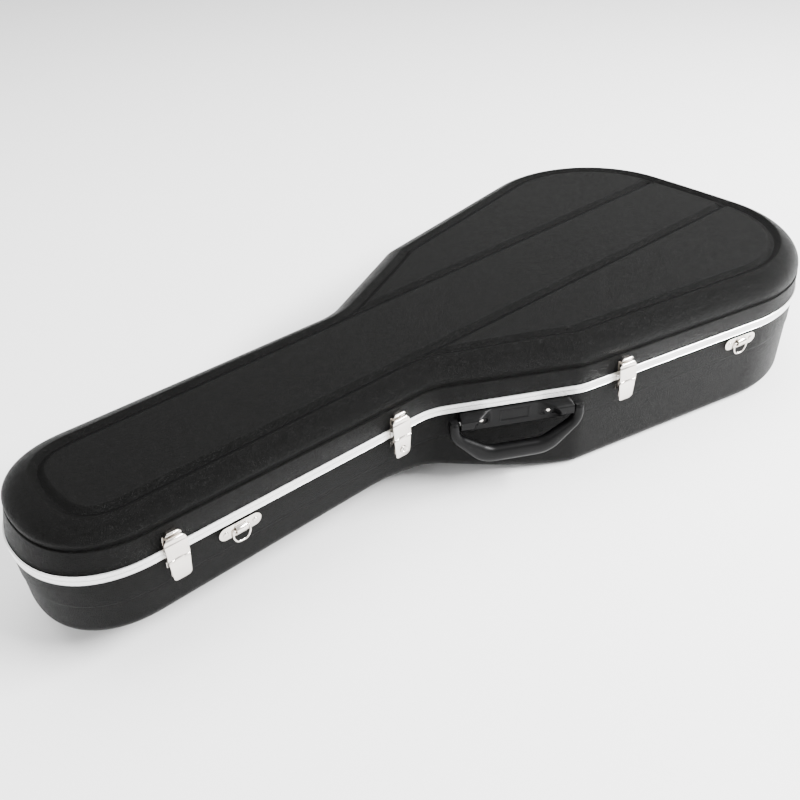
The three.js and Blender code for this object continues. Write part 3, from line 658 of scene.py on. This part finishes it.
def rounded_box(low, high, radius):
    """A box with rounded edges, in rim millimetres."""
    box = bmesh.new()
    bmesh.ops.create_cube(box, size=1)
    for vertex in box.verts:
        for k in range(3):
            vertex.co[k] = low[k] if vertex.co[k] < 0 else high[k]
    bmesh.ops.subdivide_edges(box, edges=box.edges[:], cuts=1, use_grid_fill=True)
    edges = [edge for edge in box.edges if edge.calc_face_angle(0) > 0.5]
    bmesh.ops.bevel(box, geom=edges, offset=radius, segments=4, profile=0.5, affect="EDGES")
    mesh = bpy.data.meshes.new("box")
    box.to_mesh(mesh)
    box.free()
    return mesh


def edge_drop(past, reach, drop):
    """How far a rounded edge has dropped at a distance past the start of its rounding."""
    return drop * (1 - math.sqrt(max(0, 1 - (max(past, 0) / reach) ** 2)))


def slab(front, rows, level):
    """A solid between a grid of points, in columns of rows points each, and its flat back at a level."""
    back = len(front)
    points = [*front, *[(x, y, level) for x, y, z in front]]
    last = back - rows
    faces = []
    for start in range(0, last, rows):
        for a in range(start, start + rows - 1):
            quad = [a, a + rows, a + rows + 1, a + 1]
            faces.append(quad)
            faces.append([back + k for k in reversed(quad)])
    border = [*range(0, last, rows), *range(last, back), *range(last - 1, 0, -rows), *range(rows - 2, 0, -1)]
    for a, b in zip(border, border[1:] + border[:1]):
        faces.append([a, back + a, back + b, b])
    return points, faces


def neck_cradle():
    """A padded block with a scoop for the guitar's neck."""
    low, high = rim_box("neck_cradle")
    half = (high.y - low.y) / 2
    half_long = (high.x - low.x) / 2
    middle = (low.x + high.x) / 2
    scoop = min(30.0, half * 0.6)
    depth = (high.z - low.z) * 0.42
    across = np.linspace(-half, half, 61)
    front = []
    for x in np.linspace(low.x, high.x, 13):
        end = edge_drop(abs(x - middle) - half_long + 4, 4, 3.5)
        for y in across:
            side = edge_drop(abs(y) - half + 5, 5, 4)
            hollow = depth * (1 - float(smoothstep(abs(y), scoop * 0.55, scoop * 1.15)))
            front.append((x, y, high.z - hollow - end - side))
    solid = slab(front, len(across), low.z + 1)
    piece = make_piece("padded_neck_cradle", [solid], TO_ROW, "plush_lining", "base", ["neck_cradle"],
                       angle=60)


def padded_box(name, node, slot, body, radius):
    low, high = rim_box(node)
    piece = make_piece(name, [rounded_box(low, high, radius)], TO_ROW, slot, body, [node], angle=60)


def pocket():
    """The accessory pocket's wall, its lid and the ribbon that lifts the lid."""
    padded_box("plush_pocket_wall", "pocket_partition", "plush_lining", "base", 1.2)
    padded_box("plush_pocket_lid", "pocket_lid", "plush_lining", "pocket", 1.3)
    low, high = rim_box("pocket_tab")
    padded_box("pocket_ribbon", "pocket_tab", "pull_ribbon", "pocket", min(high - low) * 0.35)


# ---- frames on the wall
def frame_at(origin, along, up, out):
    """The placing of things drawn in millimetres in a frame at an origin in the row frame."""
    turn = Matrix((along, up, out)).transposed().to_4x4()
    return Matrix.Translation(origin) @ turn @ Matrix.Scale(MM, 4)


def wall_frame(joint, pivot, lean=0.0):
    """The frame on the wall of hardware whose joint's pivot lies at pivot = (out, up)."""
    along = Vector(JOINTS[joint]["axis"]).normalized()
    if along.x < 0:
        along = -along
    out = along.cross(UP).normalized()
    up = out.cross(along).normalized()
    leaned_up = (up * math.cos(lean) + out * math.sin(lean)).normalized()
    leaned_out = along.cross(leaned_up).normalized()
    origin = Vector(JOINTS[joint]["pos_m"]) - (leaned_out * pivot[0] + leaned_up * pivot[1]) * MM
    return frame_at(origin, along, leaned_up, leaned_out)


def draft_at(x):
    return BASE_DRAFT / (-RIM_EDGE - float(floor_z(x)) - BASE_RADIUS)


def lean_of(joint):
    x = (JOINTS[joint]["pos_m"][0] - RIM_ORIGIN.x) / MM
    return math.atan(draft_at(x))


# ---- solids for hardware
def flat_solid(outline, thick, holes, bevel):
    """A flat shape in xy with rounded edges, thick along z and centred on z = 0."""
    curve = bpy.data.curves.new("flat", "CURVE")
    curve.dimensions = "2D"
    curve.fill_mode = "BOTH"
    for points in (outline, *holes):
        spline = curve.splines.new("POLY")
        spline.points.add(len(points) - 1)
        for target, (a, b) in zip(spline.points, points):
            target.co = (a, b, 0, 1)
        spline.use_cyclic_u = True
    curve.extrude = thick / 2 - bevel
    curve.bevel_depth = bevel
    curve.bevel_resolution = 1
    curve.offset = -bevel
    holder = bpy.data.objects.new("flat", curve)
    bpy.context.scene.collection.objects.link(holder)
    bpy.context.view_layer.update()
    shape = holder.evaluated_get(bpy.context.evaluated_depsgraph_get())
    mesh = bpy.data.meshes.new_from_object(shape)
    bpy.data.objects.remove(holder)
    bpy.data.curves.remove(curve)
    return mesh


def section(points, width, along=0.0, bevel=0.25, rounded_end=None):
    """A section of (out, up) points drawn along the wall. rounded_end = (height, radius) rounds the corners
    beyond that height, which may lie above or below the rim."""
    mesh = flat_solid(points, width, [], bevel)
    if rounded_end:
        start, radius = rounded_end
        for vertex in mesh.vertices:
            past = min(max(math.copysign(1, start) * (vertex.co.y - start), 0) / radius, 1)
            vertex.co.z *= 1 - radius * (1 - math.sqrt(1 - past ** 2)) / (width / 2)
    turn = Matrix(((0, 0, -1, along), (0, 1, 0, 0), (1, 0, 0, 0), (0, 0, 0, 1)))
    mesh.transform(turn)
    return mesh


def plate(points, out, thick, bevel=0.3, holes=()):
    """A flat plate of (along, up) points on the wall, from out to out + thick."""
    mesh = flat_solid(points, thick, [circle(*h) for h in holes], bevel)
    mesh.transform(Matrix.Translation((0, 0, out + thick / 2)))
    return mesh


def full_turn(steps):
    return np.linspace(0, 2 * math.pi, steps + 1)[:-1]


def circle(x, y, r):
    return [(x + r * math.cos(a), y + r * math.sin(a)) for a in full_turn(28)]


def arc(x, y, r, a, b, steps=10):
    angles = np.linspace(math.radians(a), math.radians(b), steps + 1)
    return [(x + r * math.cos(t), y + r * math.sin(t)) for t in angles]


def oblong_corners(half, low, high):
    return [(-half, low), (half, low), (half, high), (-half, high)]


def rounded(corners, radii, steps):
    """A closed outline with each corner rounded by its radius."""
    points = []
    count = len(corners)
    for i in range(count):
        p = Vector(corners[i])
        a = Vector(corners[i - 1]) - p
        b = Vector(corners[(i + 1) % count]) - p
        reach = min(radii[i], a.length * 0.45, b.length * 0.45)
        a, b = p + a.normalized() * reach, p + b.normalized() * reach
        for k in range(steps + 1):
            t = k / steps
            points.append(tuple(a * (1 - t) ** 2 + p * 2 * t * (1 - t) + b * t ** 2))
    return points


def lathe(profile, steps):
    """A solid of revolution about z from (radius, z) points that start and end on the axis."""
    points, faces = [], []
    rows = []
    for radius, z in profile:
        if radius < 1e-6:
            rows.append([len(points)] * steps)
            points.append((0, 0, z))
        else:
            rows.append(list(range(len(points), len(points) + steps)))
            points.extend((radius * math.cos(a), radius * math.sin(a), z) for a in full_turn(steps))
    for a, b in zip(rows, rows[1:]):
        for i in range(steps):
            j = (i + 1) % steps
            face = list(dict.fromkeys([a[i], a[j], b[j], b[i]]))
            if len(face) > 2:
                faces.append(face)
    return mesh_of(points, faces)


def dome(u, v, w, radius, height, brim):
    """A domed rivet head standing on the wall at (u, v)."""
    profile = [(0, 0), (radius, 0), (radius, brim * 0.6), (radius * 0.97, brim)]
    profile += [(radius * 0.97 * math.cos(t), brim + (height - brim) * math.sin(t)) for t in quarter(7)[1:]]
    profile[-1] = (0, height)
    mesh = lathe(profile, 28)
    mesh.transform(Matrix.Translation((u, v, w)))
    return mesh


def rod(radius, length, out, up, along=0.0, chamfer=0.3):
    """A round pin along the wall."""
    h = length / 2
    mesh = lathe([(0, -h), (radius - chamfer, -h), (radius, -h + chamfer), (radius, h - chamfer),
                  (radius - chamfer, h), (0, h)], 24)
    turn = Matrix(((0, 0, 1, along), (0, 1, 0, up), (-1, 0, 0, out), (0, 0, 0, 1)))
    mesh.transform(turn)
    return mesh


def sweep(path, sides, half_wide, half_thick, power, closed=False):
    """A rounded bar along a path of (u, v, w) points: half_wide in the path's plane, half_thick along w."""
    path = np.array(path, float)
    count = len(path)
    if closed:
        tangent = np.roll(path, -1, 0) - np.roll(path, 1, 0)
    else:
        tangent = np.gradient(path, axis=0)
    tangent /= np.linalg.norm(tangent, axis=1)[:, None]
    side = np.column_stack([-tangent[:, 1], tangent[:, 0], np.zeros(count)])
    side /= np.linalg.norm(side, axis=1)[:, None]
    wide = np.broadcast_to(half_wide, count)
    thick = np.broadcast_to(half_thick, count)
    points, faces = [], []
    for i in range(count):
        for a in full_turn(sides):
            c, s = math.cos(a), math.sin(a)
            c, s = math.copysign(abs(c) ** (2 / power), c), math.copysign(abs(s) ** (2 / power), s)
            points.append(path[i] + side[i] * wide[i] * c + np.array([0, 0, thick[i] * s]))
    last = count if closed else count - 1
    for i in range(last):
        a, b = i * sides, (i + 1) % count * sides
        faces.extend([a + k, b + k, b + (k + 1) % sides, a + (k + 1) % sides] for k in range(sides))
    if not closed:
        faces.append(list(range(sides)))
        faces.append([(count - 1) * sides + k for k in range(sides)][::-1])
    return mesh_of(points, faces)


def bent_path(corners, radii, spacing=1.0):
    """Points along a polyline whose inner corners are circular arcs."""
    points = [Vector(corners[0])]
    for previous, corner, following, radius in zip(corners, corners[1:], corners[2:], radii):
        p = Vector(corner)
        a, b = (Vector(previous) - p).normalized(), (Vector(following) - p).normalized()
        half = a.angle(b) / 2
        reach = radius / math.tan(half)
        centre = p + (a + b).normalized() * radius / math.sin(half)
        start, end = p + a * reach - centre, p + b * reach - centre
        for t in np.linspace(0, 1, 12):
            points.append(centre + start.slerp(end, t) * radius)
    points.append(Vector(corners[-1]))
    dense = []
    for a, b in zip(points, points[1:]):
        steps = max(1, int((b - a).length / spacing))
        dense.extend(a.lerp(b, k / steps) for k in range(steps))
    dense.append(points[-1])
    return dense


# ---- latches
def barrel(out, z, up):
    """A rolled knuckle's section, with its root above (up 1) or below (up -1) the pin."""
    radius = 1.6
    root = [(out + 0.7, z + up * 2.4), (out - 0.7, z + up * 2.4)]
    if up > 0:
        return [*arc(out, z, radius, 150, 390, 14), *root]
    return [*arc(out, z, radius, -30, 210, 14), *reversed(root)]


def latch_plate(name, place, lean):
    def face(z):
        return 0.4 + lean * (z + RIM_EDGE)

    half = LATCH_WIDTH / 2
    px, pz = LEVER_PIVOT
    strip = section([(face(-19), -19), (face(-19) + 1.2, -19), (face(-7) + 1.2, -8), (2.6, -6.5), (2.6, -1),
                     (1.9, -1), (1.9, -6), (face(-7), -6)], LATCH_WIDTH - 1.5, bevel=0.2)
    ear = [(1, -11), (px, -10), *arc(px, pz, 2.6, -30, 110), (2.2, pz + 2.2), (2.2, -7), (1, -8)]
    ears = [section(ear, 1.4, side * (half - 1.2), 0.2) for side in (-1, 1)]
    make_piece(f"latch_bracket_{name}", [strip, *ears], place, "bright_nickel", "base",
               [f"latch_plate_{name}"])
    axle = rod(1.5, LATCH_WIDTH + 0.3, px, pz)
    make_piece(f"latch_lever_axle_{name}", [axle], place, "pin_steel", "base", [f"latch_lever_pin_{name}"])


def latch_lever(name, place, locked):
    half = LATCH_WIDTH / 2
    px, pz = LEVER_PIVOT
    qx, qz = LINK_PIVOT
    holes = [(0, LOCK_Z, LOCK_R + 0.35)] if locked else []
    corners = [(-half + 0.2, qz - 1.4), (-half + 2.4, LEVER_TIP_Z), (half - 2.4, LEVER_TIP_Z),
               (half - 0.2, qz - 1.4)]
    tab = plate(rounded(corners, [0.5, 5, 5, 0.5], 7), 8, 1.3, 0.5, holes)
    for vertex in tab.vertices:
        vertex.co.z -= 1.4 * float(smoothstep(-vertex.co.y, -LOCK_Z + 4, -LEVER_TIP_Z))
    flange = [(6.4, qz - 3), (5.6, LEVER_TIP_Z + 9), (7.6, LEVER_TIP_Z + 8), (8.2, qz - 3)]
    flanges = [section(flange, 0.9, side * (half - 1.6), 0.2) for side in (-1, 1)]
    arm = [(px - 1.5, pz - 2), (6.5, qz - 9), (8.2, qz - 9), (8.2, qz - 2), (7.4, qz + 3),
           *arc(px, pz, 2.4, 10, 215, 12)]
    arms = [section(arm, 1.4, side * (half - 3.2), 0.2) for side in (-1, 1)]
    knuckles = [section(barrel(qx, qz, -1), 5.8, side * (half - 3.6), 0.2) for side in (-1, 1)]
    body = f"lever_{name}"
    make_piece(f"latch_cover_{name}", [tab, *flanges, *arms, *knuckles], place, "bright_nickel", body,
               [f"latch_lever_{name}"])
    axle = rod(1.0, LATCH_WIDTH - 0.9, qx, qz)
    make_piece(f"latch_link_axle_{name}", [axle], place, "pin_steel", body, [f"latch_link_pin_{name}"])


def latch_link(name, place):
    qx, qz = LINK_PIVOT
    outer = [(9.4, qz + 1.4), (9.4, 5), (9.2, 9), *arc(4.9, 10.4, 3.9, 0, 30, 4), (7.6, 14.4),
             *arc(5.4, 16.4, 2.3, -20, 165, 14)]
    inner = [(4.4, 15.8), (5.6, 15.2), (6.6, 13.4), (7.8, 8.8), (8.1, 5), (8.1, qz + 1.4)]
    bent = section([*outer, *inner], LATCH_WIDTH, 0, 0.3, rounded_end=(12.5, CORNER_R))
    middle = section(barrel(qx, qz, 1), 10.0, 0, 0.2)
    make_piece(f"latch_draw_plate_{name}", [bent, middle], place, "bright_nickel", f"link_{name}",
               [f"latch_link_{name}"])


def latch_keeper(name, place):
    hook = [(0.4, 7), (1.5, 7), (1.5, 12), (1.5, 17), (1.5, 20), (2.2, 20.6), (4.2, 20.6),
            *arc(4.2, 22.3, 1.7, -80, 95, 12), (2.8, 24.2), (1.6, 24.4), (0.4, 24.2), (0.4, 20), (0.4, 16),
            (0.4, 12)]
    catch = section(hook, LATCH_WIDTH - 3, 0, 0.25, rounded_end=(16.5, 8.0))
    make_piece(f"latch_catch_{name}", [catch], place, "bright_nickel", "lid", [f"latch_keeper_{name}"])


def latch_lock(place):
    ring = [(0, -2.2), (LOCK_R, -2.2), (LOCK_R, 0.2), (LOCK_R - 0.3, 0.45), (LOCK_R - 0.9, 0.45),
            (LOCK_R - 1.2, 0.1), (0, 0.1)]
    plug = lathe(ring, 36)
    plug.transform(Matrix.Translation((0, LOCK_Z, 9.6)))
    make_piece("lock_barrel", [plug], place, "bright_nickel", "lock", ["lock_plug"])
    # The keyway is drawn as a thin near-black sheet just proud of the plug's face, with painted shade where the
    # slot's hollow would be.
    slot = oblong_corners(0.55, LOCK_Z - 2.1, LOCK_Z + 2.1)
    slit = plate(rounded(slot, [0.4] * 4, 3), 9.45, 0.34, 0.05)
    make_piece("lock_keyway_painted_shade", [slit], place, "bright_nickel", "lock", material=KEYWAY_SHADE_PAINT)


def latches():
    for name in LATCH_NAMES:
        joint = f"lever_{name}_swing"
        place = wall_frame(joint, LEVER_PIVOT)
        latch_plate(name, place, math.tan(lean_of(joint)))
        latch_lever(name, place, name == "waist")
        latch_link(name, place)
        latch_keeper(name, place)
        if name == "waist":
            latch_lock(place)


# ---- handle
def handle_relief(u, v):
    """How far the handle plate's face stands out of the wall."""
    face = HANDLE_PLATE["face"]
    a = np.abs(u)
    pivot_out, pivot_v = HANDLE_PIVOT
    round_top = pivot_out + np.sqrt(np.maximum(BARREL_R ** 2 - (v - pivot_v) ** 2, 0))
    skirt = pivot_out * smoothstep(v, pivot_v - BARREL_R - 5.5, pivot_v - BARREL_R + 1.5)
    lug = np.where(np.abs(v - pivot_v) < BARREL_R, round_top, np.maximum(skirt, face))
    lug = np.where(v > pivot_v + BARREL_R * 0.7, np.minimum(lug, round_top), lug)
    height = face + np.maximum(lug - face, 0) * smoothstep(a, 27, 47)
    # A cup is scooped out of each lug around its rivet.
    ru, rv = HANDLE_RIVET
    r = np.hypot(a - ru, (v - rv) * 1.05)
    cup = face - 1.2 + 15 * smoothstep(r, 5.0, 12.5)
    height = np.minimum(height, np.maximum(cup, face))
    # The blank badge: a thin raised frame round a shallow recess.
    edge = np.maximum(a / 19, np.abs(v + 16.3) / 7.8)
    frame_line = smoothstep(edge, 0.86, 0.91) * (1 - smoothstep(edge, 0.97, 1.02))
    recess = 1 - smoothstep(edge, 0.82, 0.88)
    return height + 0.45 * frame_line - 0.6 * recess


def handle_plate(place):
    half = HANDLE_PLATE["half"]
    columns = np.concatenate([np.linspace(-half, -30, 64), np.linspace(-30, 30, 90)[1:-1],
                              np.linspace(30, half, 64)])
    rows = np.linspace(0, 1, 56)
    corner, brim = 5.0, 1.2
    front = []
    for u in columns:
        side = max(0, abs(u) - (half - corner))
        trim = corner - math.sqrt(max(corner ** 2 - side ** 2, 0))
        low, high = HANDLE_PLATE["bottom"] + trim, HANDLE_PLATE["top"] - trim * 0.6
        vs = low + (high - low) * rows
        edge = np.minimum(vs - low, high - vs)
        drop = brim * (1 - np.sqrt(1 - (1 - np.clip(edge / brim, 0, 1)) ** 2))
        front.extend((u, v, h) for v, h in zip(vs, handle_relief(np.full_like(vs, u), vs) - drop))
    solid = slab(front, len(rows), 0.3)
    make_piece("handle_mount", [solid], place, "handle_moulding", "base", ["handle_plate"], angle=75)


def handle_grip(place):
    out, pivot = HANDLE_PIVOT
    half = HANDLE_PLATE["half"]
    low = pivot - GRIP_DROP
    arm = half + 7.0
    corners = [(-arm, pivot + 4.2, out), (-arm - 0.4, pivot - 17, out + 1.6), (-37, low, out + 2.6),
               (37, low, out + 2.6), (arm + 0.4, pivot - 17, out + 1.6), (arm, pivot + 4.2, out)]
    path = bent_path(corners, [24, 32, 32, 24])
    run = np.concatenate([[0], np.cumsum([(b - a).length for a, b in zip(path, path[1:])])])
    middle = np.abs(run / run[-1] - 0.5) * 2
    wide = 11.2 - 4.6 * smoothstep(middle, 0.3, 0.8)
    thick = 8.2 - 1.0 * smoothstep(middle, 0.4, 0.9)
    tip = smoothstep(run, 0, 3.2) * smoothstep(run[-1] - run, 0, 3.2)
    bar = sweep([tuple(p) for p in path], 28, wide * (0.72 + 0.28 * tip), thick * (0.72 + 0.28 * tip), 2.25)
    make_piece("handle_bail", [bar], place, "handle_moulding", "handle", ["handle_grip"], angle=50)


def handle():
    place = wall_frame("handle_fold", HANDLE_PIVOT, lean_of("handle_fold"))
    handle_plate(place)
    handle_grip(place)
    u, v = HANDLE_RIVET
    for sign, side in ((-1, "left"), (1, "right")):
        head = dome(sign * u, v, HANDLE_PLATE["face"] - 1.1, 3.3, 3.0, 0.8)
        make_piece(f"handle_rivet_head_{side}", [head], place, "bright_nickel", "base",
                   [f"handle_rivet_{side}"])


# ---- strap rings
def strap_rings():
    for name in ("neck", "body"):
        joint = f"ring_{name}_swing"
        place = wall_frame(joint, (RING_PIVOT_OUT, 0), lean_of(joint))
        oblong = [*arc(17, 0, 8, -90, 90, 14), *arc(-17, 0, 8, 90, 270, 14)]
        base = plate(oblong, 0.3, 1.5, 0.45)
        fold = section([*arc(1.9, 0, 5.0, -84, 84, 18), *arc(1.9, 0, 3.7, 84, -84, 18)], 13, 0, 0.3)
        feet = [plate(rounded(oblong_corners(6.5, side * 4.4, side * 7.4), [0.8] * 4, 3), 1.6, 1.1, 0.3)
                for side in (-1, 1)]
        rivets = [dome(side * 17.5, 0, 1.7, 3.3, 1.7, 0.4) for side in (-1, 1)]
        make_piece(f"strap_mount_{name}", [base, fold, *feet, *rivets], place, "bright_nickel", "base",
                   [f"strap_bracket_{name}"])
        w = RING_PIVOT_OUT
        corners = [(0.5, 0, w), (-9.9, 0, w), (-9.9, -9, w), (-6.2, -16.6, w), (6.2, -16.6, w), (9.9, -9, w),
                   (9.9, 0, w), (0, 0, w)]
        path = bent_path(corners, [1.6, 6.5, 6.5, 6.5, 6.5, 1.6], 0.8)[:-1]
        wire = sweep([tuple(p) for p in path], 14, 1.15, 1.15, 2.0, closed=True)
        make_piece(f"strap_loop_{name}", [wire], place, "bright_nickel", f"ring_{name}",
                   [f"strap_ring_{name}"])


# ---- hinges
def back_wall_frame(x):
    """The frame of hardware on the back wall at x, from the outline's points near it."""
    near = 12
    back = np.flatnonzero((shell_loop.y > 0) & (np.abs(shell_loop.x - x) < near))
    back = back[np.argsort(shell_loop.x[back])]
    y, nx, ny = (float(np.interp(x, shell_loop.x[back], values[back]))
                 for values in (shell_loop.y, shell_loop.nx, shell_loop.ny))
    out = Vector((nx, ny, 0)).normalized()
    return frame_at(TO_ROW @ Vector((x, y, 0)), UP.cross(out), UP, out)


def hinge_leaves(name, place, x, out):
    """Both leaves of the hinge at x, with rivets and with roots that reach the knuckles."""
    def face(z):
        return 0.4 + draft_at(x) * (z + RIM_EDGE)

    third = HINGE_WIDTH / 3
    back = BAND_PROUD + 0.3
    front = back + HINGE_LEAF
    low, high = HINGE_LOW, HINGE_HIGH
    lower = section([(face(low), low), (face(low) + 0.9, low - 0.2), (face(low + 1) + HINGE_LEAF, low + 1),
                     (face(-22) + HINGE_LEAF, -22), (face(-8) + HINGE_LEAF, -8.5), (front, -6.5),
                     (front, -3.6), (back, -3.6), (back, -5.9), (face(-8), -5.9), (face(-22), -22)],
                    HINGE_WIDTH, 0, 0.3, rounded_end=(low + 6, CORNER_R))
    upper = section([(back, 3.6), (front, 3.6), (front, 6.5), (1.8, 8.5), (1.8, 16), (1.8, high - 1),
                     (1.3, high), (0.4, high), (0.4, 16), (0.4, 5.9), (back, 5.9)],
                    HINGE_WIDTH, 0, 0.3, rounded_end=(high - 6, CORNER_R))
    low_root = section([(back, -5), (front, -5), (out, -2.6), (out - 1, -1.9), (back, -3.2)],
                       third - 1, 0, 0.1)
    high_root = [(back, 3.2), (out - 1, 1.9), (out, 2.6), (front, 5), (back, 5)]
    high_roots = [section(high_root, third - 1, side * third, 0.1) for side in (-1, 1)]
    low_rivets = [dome(u, -20, face(-20) + 1.3, 3.0, 1.5, 0.4) for u in HINGE_RIVETS]
    high_rivets = [dome(u, 14.5, 1.7, 3.0, 1.5, 0.4) for u in HINGE_RIVETS]
    make_piece(f"hinge_lower_leaf_{name}", [lower, low_root, *low_rivets], place, "bright_nickel", "base",
               [f"hinge_base_leaf_{name}"])
    make_piece(f"hinge_upper_leaf_{name}", [upper, *high_roots, *high_rivets], place, "bright_nickel", "lid",
               [f"hinge_lid_leaf_{name}"])


def hinge(name):
    low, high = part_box(f"hinge_pin_{name}")
    middle = (low + high) / 2
    x = (middle.x - RIM_ORIGIN.x) / MM
    place = back_wall_frame(x)
    along = Vector(JOINTS["lid_hinge"]["axis"]).normalized()
    line = frame_at(middle, along, UP, along.cross(UP))
    hinge_leaves(name, place, x, (place.inverted() @ middle).z)
    third = HINGE_WIDTH / 3
    for step, part, body in ((0, "middle", "base"), (-1, "a", "lid"), (1, "b", "lid")):
        knuckle = rod(KNUCKLE_R, third - 0.6, 0, 0, step * third, 0.4)
        make_piece(f"hinge_knuckle_{part}_{name}", [knuckle], line, "bright_nickel", body)
    axle = rod(1.5, HINGE_WIDTH + 1.2, 0, 0, 0, 0.5)
    make_piece(f"hinge_axle_{name}", [axle], line, "pin_steel", "base", [f"hinge_pin_{name}"])


# ---- stage, light and camera
def stage():
    bpy.ops.mesh.primitive_plane_add(size=30, location=(0, 0, 0))
    floor = bpy.context.object
    floor.name = "studio_floor"
    s = Shader("studio_floor", (0.93, 0.93, 0.93), 0.7)
    s.shades(s.noise(2, 2), 0.99, 1.0)
    floor.data.materials.append(s.material)

    world = bpy.data.worlds.new("studio")
    bpy.context.scene.world = world
    world.use_nodes = True
    background = world.node_tree.nodes["Background"]
    background.inputs["Color"].default_value = (1, 1, 1, 1)
    background.inputs["Strength"].default_value = 1.0


def area_light(name, place, target, size, power):
    data = bpy.data.lights.new(name, "AREA")
    data.shape = "RECTANGLE"
    data.size, data.size_y = size
    data.energy = power
    light = bpy.data.objects.new(name, data)
    light.location = place
    light.rotation_euler = (Vector(target) - Vector(place)).to_track_quat("-Z", "Y").to_euler()
    bpy.context.scene.collection.objects.link(light)


def lights():
    area_light("top_softbox", (0.1, 0.9, 2.6), (0, 0.1, 0), (3.4, 2.2), 100)
    area_light("left_softbox", (-2.2, -0.9, 1.5), (-0.2, 0, 0.1), (1.2, 1.2), 24)
    area_light("shoulder_strip", (1.5, -1.7, 1.9), (0.0, 0, 0.1), (2.4, 0.4), 420)


AZIMUTH, ELEVATION, ROLL = -38.669, 34.498, -2.7035  # the view's direction, in degrees
PICTURE_WIDTH = 800
FOCAL = 947.03  # for that width
EYE = (-127.8, -764.0, 624.1)  # from the neck end at rim height


def camera():
    az, el, roll = (math.radians(a) for a in (AZIMUTH, ELEVATION, ROLL))
    back = Vector((math.sin(az) * math.cos(el), -math.cos(az) * math.cos(el), math.sin(el)))
    right = UP.cross(back).normalized()
    up = back.cross(right)
    turned_right = right * math.cos(roll) + up * math.sin(roll)
    turned_up = up * math.cos(roll) - right * math.sin(roll)
    data = bpy.data.cameras.new("camera")
    data.sensor_width = 36
    data.lens = FOCAL / PICTURE_WIDTH * data.sensor_width
    data.clip_start, data.clip_end = 0.05, 100
    holder = bpy.data.objects.new("camera", data)
    holder.matrix_world = (Matrix.Translation(TO_ROW @ Vector(EYE))
                           @ Matrix((turned_right, turned_up, back)).transposed().to_4x4())
    bpy.context.scene.collection.objects.link(holder)
    bpy.context.scene.camera = holder


# ---- assembly
dress_cad_nodes()
lid_shell()
base_shell()
strips()
liners()
neck_cradle()
pocket()
latches()
handle()
strap_rings()
for hinge_name in HINGE_NAMES:
    hinge(hinge_name)
stage()
lights()
camera()
